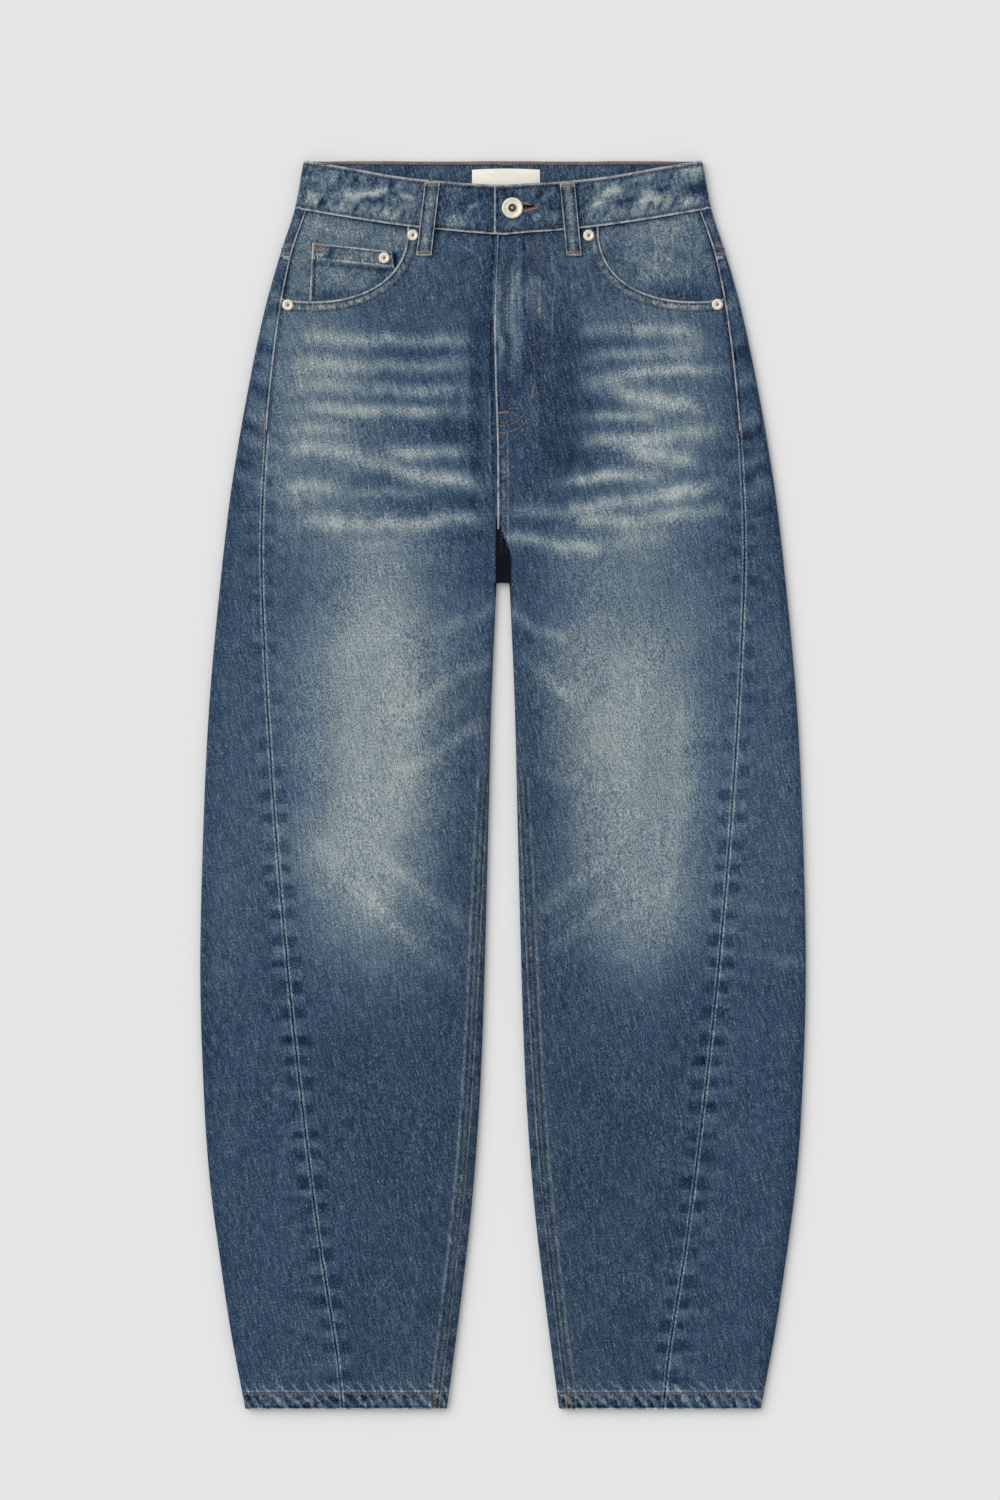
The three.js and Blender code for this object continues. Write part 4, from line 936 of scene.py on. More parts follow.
# Half width, height and normal angle of the back section, for columns from the outseam round to the inside
def backSection(side, down):
    gap, reach = jeans["seamGap"] / 2, jeans["foldReach"]
    count = {key: backLook[key] // thin for key in ("strip", "fold", "under", "seat", "inner")}
    outer = outerEdge(down)
    below = down >= jeans["crotch"]
    inner = np.where(below, innerEdge(down), 0)
    middle = (outer + inner) / 2
    start = outseam(down) + gap
    t = spread(count["strip"], 0.4)
    half = [mix(start, outer - reach, t)]
    angle = [np.full_like(half[0], 90.0)]
    turn = np.linspace(90, -90, count["fold"] + 1)[1:]
    half.append(outer - reach * (1 - np.cos(np.radians(turn))))
    angle.append(np.broadcast_to(turn, half[-1].shape))
    t = np.linspace(0, 1, count["under"] + 1)[1:]
    half.append(mix(outer - reach, middle, t))
    angle.append(np.full_like(half[-1], -90.0))

    t = np.linspace(0, 1, count["seat"] + count["inner"] + 1)[1:]
    upperHalf = mix(middle, gap, t)
    t = np.linspace(0, 1, count["seat"] + 1)[1:]
    seatHalf = mix(middle, inner + reach, t)
    roll = inseamRoll(down)
    finish = quarterArc * (1 + foldAngle(roll) / (np.pi / 2)) + np.maximum(0, roll - reach) - gap
    t = np.linspace(0, 1, count["inner"] + 1)[1:]
    arc = finish * t
    bend = np.clip(arc / quarterArc - 1, -1, 1) * 90
    foldHalf = inner + reach * (1 - np.cos(np.radians(bend))) + np.maximum(0, arc - 2 * quarterArc)
    innerHalf = np.where(below, np.concatenate([np.broadcast_to(seatHalf, (len(down), count["seat"])),
                                                foldHalf],
                                               axis=1), upperHalf)
    innerAngle = np.where(below, np.concatenate([np.full((len(down), count["seat"]), -90.0), bend],
                                                axis=1), -90.0)
    half.append(innerHalf)
    angle.append(innerAngle)
    return np.concatenate(half, axis=1), np.radians(np.concatenate(angle, axis=1))


# Half widths and angles where every column has its own distance down
def backGrid(side, downs):
    half = np.empty_like(downs)
    angle = np.empty_like(downs)
    for c in range(downs.shape[1]):
        halfAll, angleAll = backSection(side, downs[:, c:c + 1])
        half[:, c] = halfAll[:, c]
        angle[:, c] = angleAll[:, c]
    return half, angle


def backWash(x, down):
    half = np.abs(x)
    tone = backLook["base"] + 0.14 * bump(down, 210, 90) * bump(half, 100, 62)
    tone = tone + 0.16 * bump(down, 470, 130) * bump(half, 120, 60)
    for share, depth in ((0, 0), (0.6, 22), (1.3, 47), (2.1, 70)):
        crease = 640 + depth + 9 * wave(x, 3.3 + share, 70)
        tone = tone + 0.10 * bump(down, crease, 4) * bump(half, 130, 58)
    return tone


def backPiece(name, side, shares, rows):
    half, angle = backGrid(side, rows)
    x = side * half
    onTop = angle > 0
    front = angle > np.radians(60)
    base = np.where(onTop, topFace(x, rows), underFace(x, rows))
    full = fullness(half, rows)
    seed = 4.4 if side > 0 else 9.6
    outOff = np.where(front, half - outseam(rows), 99.0)
    busted = openShare(rows)
    pucker = wave(rows, (2.3 if side > 0 else 7.9) + 4, 21)
    z = base + np.where(onTop, full * creases(x, rows) * 0.8, 0)
    z = z - seamDip(outOff) * (0.4 + 0.6 * busted) - 0.3 * pucker * np.exp(-((outOff - 7) / 5) ** 2) * busted
    kneeLift = sum(bump(rows, 640 + depth, 7) for depth in (0, 24, 50)) * bump(half, 130, 50)
    z = z + np.where(onTop, 0, 0.5 * kneeLift)
    tone = np.where(onTop, legWash(x, rows), backWash(x, rows))
    tone = tone - 0.19 * seamBlotches(outOff, rows, seed + 1) * busted
    upper = np.where(front, 1 - smooth(250, 340, rows), 0)
    patches = wave(rows + 0.4 * half, seed + 6, 34)
    tone = tone + upper * (0.16 * smooth(-0.1, 0.7, patches) - 0.14 * smooth(0.1, 0.8, -patches))
    hemOff, inHem, roping = hemRope(x, rows, seed + 2)
    z = z + np.where(front, roping, 0)
    seamEnd = np.abs(rows - yokeSeamAt(shares))
    rim = np.minimum(hemOff + 0.5, np.where(front, seamEnd + 0.4, 99.0))
    if name.startswith("yoke"):
        lower = yokeSeamAt(shares) - rows
        tone = tone + 0.20 * smooth(0.4, 1.4, lower) * (1 - smooth(11, 13, lower)) * onTop
        z = z + 0.35 * smooth(0, 0.8, lower) * (1 - smooth(9, 10, lower)) * onTop
        rim = np.where(front, lower + 0.3, 99.0)
    rim = np.minimum(rim, np.where(front & (rows < seamFrom["open"]), outOff + 0.1, 99.0))
    nearInner = (rows > jeans["crotch"]) & (angle > 0) & (half < outerEdge(rows) - 60)
    tone = tone + nearInner * (0.02 + 0.08 * wave(rows, seed, 17))
    outer = stack(half, rows, z, side)
    outerColumns = sum(backLook[key] // thin for key in ("strip", "fold", "under"))
    towards = np.where(np.arange(half.shape[1]) < outerColumns, 1, -1)
    inner = innerSide(half, rows, base, angle, towards, wallAt(rows), side)
    seam = np.where(front & (rows > seamFrom["open"]), outOff, 99.0)
    values = {"tone": (np.clip(tone, -0.1, 1), 0.42), "rim": (rim, 99.0), "seam": (seam, 99.0),
              "blotch": (0.05 + 0.25 * inHem + 0.1 * (1 - smooth(110, 150, rows)), 0.1),
              "grey": (np.where(onTop, greyShare(x, rows), 0), 0.0)}
    return name, shell(name, outer, inner, values, denim, flip=side > 0)


# Share of the way round the section at each of its columns
def backColumns():
    strip = np.linspace(0, 0.16, backLook["strip"] // thin)
    fold = np.linspace(0.16, 0.22, backLook["fold"] // thin + 1)[1:]
    under = np.linspace(0.22, 0.6, backLook["under"] // thin + 1)[1:]
    inside = np.linspace(0.6, 1, (backLook["seat"] + backLook["inner"]) // thin + 1)[1:]
    return np.concatenate([strip, fold, under, inside])


def backPanel(side):
    share = backColumns()
    top = yokeSeamAt(share) + jeans["seamGap"]
    ts = np.linspace(0, 1, 22 // thin)[:-1, None]
    rows = np.concatenate([mix(top, 150.0, ts), np.repeat(legRows[:, None], len(share), axis=1)])
    return backPiece(sided("back_panel", side), side, share, rows)


def yoke(side):
    share = backColumns()
    frontTop = bandBottomFront(outseam(bandDepthBack)) + jeans["seamGap"]
    foldTop = bandBottomFront(outerEdge(bandDepthBack)) + jeans["seamGap"]
    sideTop = mix(frontTop, foldTop, smooth(0, 0.16, share))
    top = mix(sideTop, bandDepthBack + jeans["seamGap"], smooth(0.17, 0.4, share))
    ts = np.linspace(0, 1, 26 // thin)[:, None]
    return backPiece(sided("yoke", side), side, share, mix(top, yokeSeamAt(share), ts))


# Half a waistband, from its front end over the top, round the side fold and along the underside
band = dict(front=150, fold=16, back=80, rows=34)
buttonhole = dict(fromX=5, toX=28, top=0.44, bottom=0.498, foldAt=171.7)        # top and bottom as shares

# pale and dark patches on it: x1, down1, x2, down2, width, strength
bandMarks = [
    (-160, 14, -138, 14, 5, 0.12), (-168, 30, -154, 33, 5, 0.16), (-140, 29, -106, 29, 3.2, 0.26),
    (-115, 29, -93, 24, 2.6, 0.24), (-91, 27, -74, 33, 2.4, 0.20), (-134, 34, -120, 33, 3, 0.16),
    (-125, 33, -95, 35, 3, -0.16), (-100, 26, -83, 27, 2.6, -0.12), (-157, 34, -151, 36, 4, -0.16),
    (-118, 17, -100, 20, 3.5, -0.08), (-110, 43, -84, 47, 5, 0.10), (-146, 40, -126, 44, 4, 0.08),
    (80, 29, 103, 22.5, 4.5, 0.26), (74, 40, 86, 33, 2.4, 0.26), (110, 35, 139, 31, 3.6, 0.22),
    (116, 27, 131, 28, 3, 0.14), (149, 12, 170, 7, 5, 0.20), (107, 18, 133, 13, 3.5, 0.15),
    (92, 36, 119, 33, 2.6, -0.14), (154, 24, 176, 24, 5, -0.16), (130, 24, 143, 23, 3.5, -0.12),
    (70, 26, 78, 24, 4, -0.08), (96, 44, 128, 41, 4, 0.08), (148, 36, 168, 33, 4, 0.10),
    (32, 34, 41, 27, 2.2, 0.13), (25, 52, 32, 45, 2.4, 0.18), (35, 51, 49, 47, 3.4, 0.12),
    (-2, 54, 18, 55, 4.5, 0.10), (-53, 51, -29, 51, 5.5, 0.15), (-31, 41, -18, 36, 2.4, 0.16),
    (-39, 51, -23, 42, 2.6, 0.10), (-52, 24, -30, 27, 4, 0.06), (-3, 26, -1, 50, 2.6, 0.10)]


def waistbandHalf(side):
    name = sided("waistband", side)
    start = bandLap["leftEnd"] if side > 0 else -bandLap["rightEnd"]
    reach = jeans["foldReach"]
    counts = [band[key] // thin for key in ("front", "fold", "back")]
    share = np.linspace(0, 1, band["rows"] // thin)
    slot = side > 0
    if slot:
        share = np.unique(np.concatenate([share, [buttonhole["top"], buttonhole["bottom"]]]))
    share = share[:, None]
    sideDown = bandBottomFront(outerEdge(bandDepthBack)) * share
    edge = outerEdge(sideDown)
    t = np.linspace(0, 1, counts[0])
    if slot:
        reached = buttonhole["foldAt"] - start
        holeFrom, holeTo = ((buttonhole[key] - start) / reached for key in ("fromX", "toX"))
        t = np.unique(np.concatenate([t, [holeFrom, holeTo]]))
    frontHalf = start + (edge - reach - start) * t
    frontDown = mix(bandTopFront(np.abs(frontHalf)), bandBottomFront(np.abs(frontHalf)), share)
    turn = np.linspace(90, -90, counts[1] + 1)[1:]
    foldHalf = edge - reach * (1 - np.cos(np.radians(turn)))
    backHalf = edge - reach - (edge - reach - jeans["seamGap"] / 2) * np.linspace(0, 1, counts[2] + 1)[1:]
    backDown = mix(sideDown, bandDepthBack * share, smooth(0, 30, edge - reach - backHalf))
    half = np.concatenate([frontHalf, foldHalf, backHalf], axis=1)
    down = np.concatenate([frontDown, np.broadcast_to(sideDown, foldHalf.shape), backDown], axis=1)
    angle = np.radians(np.concatenate([np.full(frontHalf.shape[1], 90.0), turn, np.full(counts[2], -90.0)]))
    angle = np.broadcast_to(angle, half.shape)
    x = side * half
    height = jeans["bandHeight"]
    onTop = angle > 0
    base = np.where(onTop, topFace(x, down, height) + (bandRise(x) if side > 0 else 0),
                    underFace(x, down, height))
    fromTop, fromBottom = share * bandDepthBack, (1 - share) * bandDepthBack
    seed = 6.1 if side > 0 else 1.4
    slant = wave(x + 0.5 * fromTop, seed, 13) * (1 - smooth(8, 22, fromTop))
    slantLow = wave(x - 0.4 * fromBottom, seed + 3, 14) * (1 - smooth(6, 20, fromBottom))
    full = fullness(half, down)
    relief = full * (0.3 * slant + 0.26 * slantLow + 0.2 * wave(x + 0.3 * down, seed + 1, 47))
    relief = relief - 0.35 * bump(fromTop, 3.2, 0.8) - 0.35 * bump(fromBottom, 3.4, 0.9)
    z = base + np.where(onTop, relief, 0)
    middle = 1 - smooth(52, 80, np.abs(x))
    tone = 0.385 - 0.19 * middle + 0.06 * wave(x, seed + 5, 60) + 0.09 * slant
    for x1, d1, x2, d2, width, strength in bandMarks:
        tone = tone + 2.1 * onTop * strength * strokeMask(x, down + 1.2 * wave(x, 4.1, 16),
                                                          x1, d1, x2, d2, width)
    spotsLow = smooth(-0.1, 0.6, wave(x - 0.5 * fromBottom, seed + 3, 9.5)) * bump(fromBottom, 9.5, 4.4)
    spotsTop = smooth(0.0, 0.7, wave(x + 0.4 * fromTop, seed, 14)) * bump(fromTop, 9, 4.5)
    tone = tone + (1 - 0.6 * middle) * (0.14 * bump(fromBottom, 9, 6) - 0.36 * spotsLow - 0.28 * spotsTop)
    # painted shade towards the side fold, where the band rounds away, and painted shadow beside the front belt
    # loops
    tone = tone - 0.06 * (1 - smooth(0, 10, edge - half)) * onTop - 0.22 * loopShade(x, down) * onTop
    rim = np.minimum(fromTop, fromBottom + 0.3)
    if side > 0:
        rim = np.minimum(rim, x - start + 0.2)
    innerTone = (0.24 + 0.05 * wave(x, seed + 8, 35) + 0.04 * wave(x, seed + 2, 8)
                 + 0.2 * (1 - smooth(2.2, 3.6, fromTop)))
    outer = stack(half, down, z, side)
    inner = innerSide(half, down, base, angle, 1, jeans["bandWall"], side)
    values = {"tone": (np.clip(tone, 0.02, 1), innerTone), "rim": (rim * 0.85, 99.0), "blotch": (0.25, 0.16),
              "grey": (0.3, 0.4)}
    holes = None
    if slot:
        rowMid = (share[1:, 0] + share[:-1, 0]) / 2
        colMid = (t[1:] + t[:-1]) / 2
        holes = np.zeros((half.shape[0] - 1, half.shape[1] - 1), bool)
        inRows = (rowMid > buttonhole["top"]) & (rowMid < buttonhole["bottom"])
        inCols = (colMid > holeFrom) & (colMid < holeTo)
        holes[:, :len(colMid)] = inRows[:, None] & inCols[None, :]
    return name, shell(name, outer, inner, values, denim, flip=side < 0, holes=holes)


# Denim seen inside the pocket mouths, with the coin pocket on the wearer's right
facingColumns = dict(share=[0.12, 0.34, 0.82, 1], seamHalf=[72, 91, 154, 167],
                     openingHalf=[73, 94.6, 161.6, 176],
                     openingDown=[78, 76.9, 69.7, 68.4])
coin = dict(side=-1, fromShare=0.34, toShare=0.82, wall=1.05, hem=13.0)


def facingGrid(shares, below):
    seamHalf, openHalf, openDown = (np.interp(shares, facingColumns["share"], facingColumns[key])
                                    for key in ("seamHalf", "openingHalf", "openingDown"))
    deepHalf, deepDown = mouthPoint(shares, facing["under"])
    below = np.asarray(below)[:, None]
    low = mix(openHalf, deepHalf, below), mix(openDown, deepDown, below)
    return seamHalf, (openHalf, openDown), low


facingScratches = [(129, 72, 130, 84), (137, 80, 145, 87), (119, 94, 128, 105), (128, 90, 139, 101)]


def pocketFacing(side):
    shares = np.linspace(0.12, 1, 70 // thin)
    ts = np.linspace(0, 1, 26 // thin)
    seamHalf, (openHalf, openDown), (lowHalf, lowDown) = facingGrid(shares, ts)
    upper = np.linspace(0, 1, 14 // thin)[:-1, None]
    half = np.concatenate([mix(seamHalf, openHalf, upper), lowHalf])
    topDown = bandBottomFront(seamHalf) + jeans["seamGap"]
    down = np.concatenate([mix(topDown, openDown, upper), lowDown])
    seam = outseam(down) - 2 * jeans["seamGap"]
    lastCol = np.arange(half.shape[1]) == half.shape[1] - 1
    taper = np.linspace(3, 0, 6 // thin)
    reach = np.full(half.shape[1], 3.0)
    reach[-len(taper):] = taper
    half = np.where(lastCol, seam, np.minimum(half, seam - reach))
    x = side * half
    z = facingFace(side, half, down)
    seed = 3.8 if side > 0 else 5.2
    tone = 0.43 + 0.05 * wave(x + 0.6 * down, seed, 31) + 0.05 * wave(down - 0.3 * x, seed + 1, 12)
    # the last term is painted shadow just below the waistband's lower edge
    tone = tone + 0.10 * bump(down - topDown, 9, 9) - 0.22 * np.exp(-np.maximum(0, down - topDown) / 1.6)
    tone = tone - 0.30 * np.exp(-np.maximum(0, seam - half) / 1.3)
    if side > 0:
        tone = (tone + 0.10 * bump(x, 118, 22) * bump(down, 92, 14)
                - 0.16 * bump(x, 150, 26) * bump(down, 114, 12))
        tone = (tone - 0.10 * (1 - smooth(0.70, 0.98, 1 - mouthLevel(half, down) + 0.6))
                - 0.05 * smooth(150, 170, x))
    else:
        tone = tone + 0.05 * bump(half, 160, 14) - 0.06 * smooth(96, 108, down)
        # painted shadow beside the coin pocket's right edge
        tone = tone - 0.5 * bump(half, 92, 3) * smooth(76, 80, down)
    relief = 0.2 * wave(x + 0.8 * down, seed, 26) * smooth(0, 6, down - topDown) * (half < seam - 4)
    outer = stack(half, down, z + np.minimum(relief, 0.12), side)
    inner = stack(half, down, z - facing["wall"], side)
    name = sided("pocket_facing", side)
    values = {"tone": (tone, 0.4), "blotch": (0.14, 0.05),
              "pale": (lineField(x, down, facingScratches), 99.0), "grey": (0.25, 0.0)}
    return name, shell(name, outer, inner, values, denim, flip=side < 0)


def coinPocketPatch():
    side = coin["side"]
    shares = np.linspace(coin["fromShare"], coin["toShare"], 56 // thin)
    ts = np.linspace(0, 1, 46 // thin)
    _, _, (half, down) = facingGrid(shares, ts)
    under = facingFace(side, half, down) + jeans["seamGap"]
    fromTop = down - np.interp(shares, facingColumns["share"], facingColumns["openingDown"])
    seed = 2.9
    s = side * half
    hem = 1 - smooth(coin["hem"] - 0.6, coin["hem"] + 0.4, fromTop)
    z = under + coin["wall"] + hem * (0.3 + 0.14 * wave(s, seed, 12)) - 0.2 * bump(fromTop, 2, 0.8)
    tone = 0.40 + 0.05 * wave(s + down, seed, 30) + 0.14 * bump(s, -132, 20) * bump(fromTop, 24, 11)
    tone = tone - 0.14 * smooth(30, 42, fromTop) - 0.16 * bump(s, -104, 7) * smooth(12, 20, fromTop)
    tone = tone + hem * (0.10 + 0.16 * wave(s + 0.4 * fromTop, seed, 12) - 0.30 * bump(s, -146, 6.5))
    tack = (1 - smooth(-153, -151, s)) * (1 - smooth(11.6, 12.8, fromTop))
    tone = tone + 0.24 * tack
    # painted shade in a band just below the hem's edge
    tone = tone - 0.40 * bump(fromTop, coin["hem"] + 3.6, 2.4) * (0.65 + 0.35 * wave(s, seed + 1, 8))
    tone = tone + 0.34 * bump(fromTop, coin["hem"] - 0.2, 1.2)
    outside = (shares - coin["toShare"] + 0.004) * -150
    rim = np.minimum(fromTop + 0.2, outside + 1.1)
    values = {"tone": (tone, 0.4), "rim": (rim, 99.0), "blotch": (0.16 + 0.1 * hem, 0.05),
              "grey": (0.25 + 0.6 * tack, 0.0)}
    return shell("coin_pocket", stack(half, down, z, side), stack(half, down, under, side), values, denim,
                 flip=side < 0)


# Belt loops: the front two are tacked at both ends and slack between them
loop = dict(width=12.7, frontWall=1.6, backWall=1.35, slack=1.2, top=2, bottom=62)
frontLoops = dict(belt_loop_front_right=(-59.8, -67.2, 18.2, 80.5), belt_loop_front_left=(54.4, 60.2, 19, 80.5))
backLoops = dict(belt_loop_back_centre=3.4, belt_loop_back_left=112, belt_loop_back_right=-112)
underClear = 0.04        # height of hidden pieces over the rest face


def loopRest(x, down):
    edge = bandBottomFront(np.abs(x))
    below = smooth(edge + 3, edge + 10, down)
    return mix(topFace(x, down, jeans["bandHeight"]), topFace(x, down), below) + jeans["seamGap"]


def loopTone(across, along, seed):
    edge = np.minimum(0.5 + across, 0.5 - across) * loop["width"]
    tone = 0.30 + 0.05 * wave(along, seed, 16) + bump(edge, 6.3, 3.0) * (0.24 + 0.12 * wave(along, seed + 1, 7))
    return tone + 0.05 * across, edge


def frontLoop(name):
    topX, bottomX, top, bottom = frontLoops[name]
    t = np.linspace(0, 1, 64 // thin)[:, None]
    across = np.linspace(-0.5, 0.5, 17)
    x = mix(topX, bottomX, t) + loop["width"] * across
    down = mix(top, bottom, t)
    rest = loopRest(x, down) + loop["slack"] * np.sin(np.pi * t) ** 2
    seed = 1.9 if topX < 0 else 8.3
    tone, edge = loopTone(across, down, seed)
    crown = 0.25 * smooth(0, 1.2, edge) - 0.25 * bump(edge, 2.4, 0.6) + 0.16 * wave(down, seed, 9)
    ends = np.minimum(down - top, bottom - down)
    tone = tone - 0.14 * bump(ends, 6.5, 1.8)
    rim = np.minimum(edge * 1.5 + 0.2, ends + 0.8)
    tone = tone + 0.22 * bump(ends, 1.5, 2.4)
    values = {"tone": (tone, 0.35), "rim": (rim, 99.0), "blotch": (0.20, 0.1), "grey": (0.5, 0.0)}
    return shell(name, stack(x, down, rest + loop["frontWall"] + crown), stack(x, down, rest), values, denim)


def backLoop(name):
    t = np.linspace(0, 1, 40 // thin)[:, None]
    across = np.linspace(-0.5, 0.5, 13)
    x = backLoops[name] + loop["width"] * across
    down = mix(loop["top"], loop["bottom"], t)
    tone, edge = loopTone(across, down, 4.7)
    values = {"tone": (0.34, tone), "rim": (99.0, edge * 0.8 + 0.2), "blotch": (0.1, 0.2)}
    return shell(name, stack(x, down, loop["backWall"]), stack(x, down, underClear), values, denim)


# Patch pockets on the hidden seat, with a shallow point
backPocket = dict(topIn=(40, 140), topOut=(170, 131), bottomIn=(51, 266), bottomOut=(165, 260),
                  point=22, wall=1.2,
                  across=120, deep=128)


def backPocketPatch(side):
    u = np.linspace(0, 1, 49)
    v = np.linspace(0, 1, 44 // thin)[:, None]
    p = backPocket
    bottomDown = mix(p["bottomIn"][1], p["bottomOut"][1], u) + p["point"] * (1 - np.abs(2 * u - 1))
    half = mix(mix(p["topIn"][0], p["topOut"][0], u), mix(p["bottomIn"][0], p["bottomOut"][0], u), v)
    down = mix(mix(p["topIn"][1], p["topOut"][1], u), bottomDown, v)
    x = side * half
    sideOff = np.minimum(u, 1 - u) * p["across"]
    topOff, bottomOff = v * p["deep"], (1 - v) * p["deep"]
    hem = 1 - smooth(15, 17, topOff)
    tone = 0.30 + 0.12 * bump(u, 0.5, 0.3) * bump(v, 0.5, 0.35) + 0.10 * hem * wave(x, 3.9, 13)
    rim = np.minimum(np.minimum(sideOff, bottomOff), topOff) + 0.2
    values = {"tone": (0.35, tone), "rim": (99.0, rim), "blotch": (0.1, 0.14)}
    name = sided("back_pocket", side)
    return name, shell(name, stack(half, down, p["wall"], side), stack(half, down, underClear, side), values,
                       denim, flip=side < 0)


# Blank patch sewn inside the back waistband
patch = dict(left=-26.3, right=31.3, top=7.2, bottom=34, arch=0.8, wall=0.9, across=57.6, deep=27, over=2.2)


def waistPatch():
    u = np.linspace(0, 1, 61)
    v = np.linspace(0, 1, 30 // thin)[:, None]
    x = mix(patch["left"], patch["right"], u)
    down = mix(patch["top"] - patch["arch"] * np.sin(np.pi * u) * (1 - v), patch["bottom"], v)
    under = underFace(x, down, jeans["bandHeight"]) + patch["over"] + jeans["seamGap"]
    edge = np.minimum(np.minimum(u, 1 - u) * patch["across"], np.minimum(v, 1 - v) * patch["deep"])
    puff = 0.25 * smooth(0, 2.4, edge) - 0.22 * bump(edge, 1.6, 0.5)
    return shell("waist_patch", stack(x, down, under + patch["wall"] - 0.2 + puff), stack(x, down, under), {},
                 cream)


# Turned metal, from a profile of (radius, height) that starts and ends on the axis
button = dict(x=7.9, down=41, profile=[
    (0, 0), (2.1, 0), (2.1, 2.8), (7.6, 2.8), (8.7, 3.1), (9, 3.7), (8.9, 4.3), (8.5, 4.9), (7.8, 5.1),
    (7.0, 4.95), (6.2, 4.6), (5.2, 4.35), (4.4, 4.45), (3.9, 4.6), (3.4, 4.3), (3.1, 3.7), (2.5, 3.5),
    (1.95, 3.7), (1.85, 4.4), (1.5, 4.9), (0.9, 5.15), (0, 5.2)])
rivet = dict(radius=4.7, profile=[
    (0, 0), (4.2, 0), (4.6, 0.2), (4.7, 0.55), (4.5, 0.95), (4.0, 1.25), (3.3, 1.3), (2.6, 1.15), (2.1, 0.85),
    (1.5, 0.8), (1.1, 1.0), (0.8, 1.45), (0.4, 1.65), (0, 1.7)])
rivetPlaces = dict(rivet_waist_right=(-76.6, 63.2), rivet_waist_left=(72.6, 63.4),
                   rivet_side_right=(-182.4, 122.6), rivet_side_left=(181.6, 122.2),
                   rivet_coin_pocket=(-100.8, 82.4))


def turned(name, profile, x, down, z, segments, centreDarkening):
    r = np.array([p[0] for p in profile[1:-1]])
    h = np.array([p[1] for p in profile[1:-1]])
    turn = np.arange(segments) / segments * 2 * np.pi
    y = jeans["length"] / 2 - down
    ring = np.stack(np.broadcast_arrays(x + r[:, None] * np.cos(turn), y + r[:, None] * np.sin(turn),
                                        z + h[:, None]), axis=-1).reshape(-1, 3)
    vertices = np.concatenate([ring, [[x, y, z + profile[0][1]], [x, y, z + profile[-1][1]]]])
    count = len(r)
    low, high = count * segments, count * segments + 1
    faces = []
    for j in range(segments):
        k = (j + 1) % segments
        faces.append((low, k, j))
        faces.append(((count - 1) * segments + j, (count - 1) * segments + k, high))
        for i in range(count - 1):
            faces.append((i * segments + j, i * segments + k, (i + 1) * segments + k, (i + 1) * segments + j))
    dirt = np.concatenate([np.repeat(np.interp(r, centreDarkening[0], centreDarkening[1]), segments), [0, centreDarkening[1][0]]])
    return newMesh(name, vertices, faces, {"dirt": dirt}, metal, sharp=40)


def rivetBase(x, down, onCoin):
    turn = np.linspace(0, 2 * np.pi, 9)
    underX, underDown = x + rivet["radius"] * np.cos(turn), down + rivet["radius"] * np.sin(turn)
    if onCoin:
        high = facingFace(coin["side"], np.abs(underX), underDown) + jeans["seamGap"] + 1.1
    else:
        high = topFace(underX, underDown) + mouth["rise"]
    return float(high.max()) + jeans["seamGap"]


def buildPieces():
    made = {}
    for side in (-1, 1):
        for build in (frontPanel, backPanel, yoke, waistbandHalf, pocketFacing, backPocketPatch):
            node, piece = build(side)
            made[node] = piece
    made["coin_pocket"] = coinPocketPatch()
    for name in frontLoops:
        made[name] = frontLoop(name)
    for name in backLoops:
        made[name] = backLoop(name)
    made["waist_patch"] = waistPatch()
    for name, piece in made.items():
        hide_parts(name)
    base = float(topFace(button["x"], button["down"], jeans["bandHeight"])) + jeans["seamGap"]
    made["waist_button"] = turned("waist_button", button["profile"], button["x"], button["down"], base,
                                  72 // thin, ([0, 1.2, 1.9, 3.1, 3.9, 9], [0.62, 0.75, 1, 1, 0.05, 0]))
    for name, (x, down) in rivetPlaces.items():
        base = rivetBase(x, down, name == "rivet_coin_pocket")
        made[name] = turned(name, rivet["profile"], x, down, base, 40 // thin,
                            ([0, 1.1, 1.6, 2.2, 4.7], [0.8, 0.8, 0.45, 0.02, 0]))
    for name in ("waist_button", *rivetPlaces):
        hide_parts(name)
    return made


made = buildPieces()
print("pieces built:", len(made))


# Sewing: each kind of row with its thread, pitch, stitch length, radius, turn from the row and share worn away
threads = dict(
    copper=dict(material=copperThread, pitch=3.0, length=2.5, radius=0.58, turn=0, worn=0.04),
    tan=dict(material=tanThread, pitch=3.0, length=2.4, radius=0.56, turn=0, worn=0.06),
    dark=dict(material=darkThread, pitch=2.9, length=2.2, radius=0.56, turn=0, worn=0.05),
    tack=dict(material=copperThread, pitch=0.6, length=2.3, radius=0.40, turn=82, worn=0.0),
    tanTack=dict(material=fadedThread, pitch=0.6, length=2.3, radius=0.40, turn=82, worn=0.0),
    binding=dict(material=bindingThread, pitch=0.9, length=3.0, radius=0.55, turn=80, worn=0.0),
    hidden=dict(material=tanThread, pitch=3.2, length=2.6, radius=0.36, turn=0, worn=0.05))


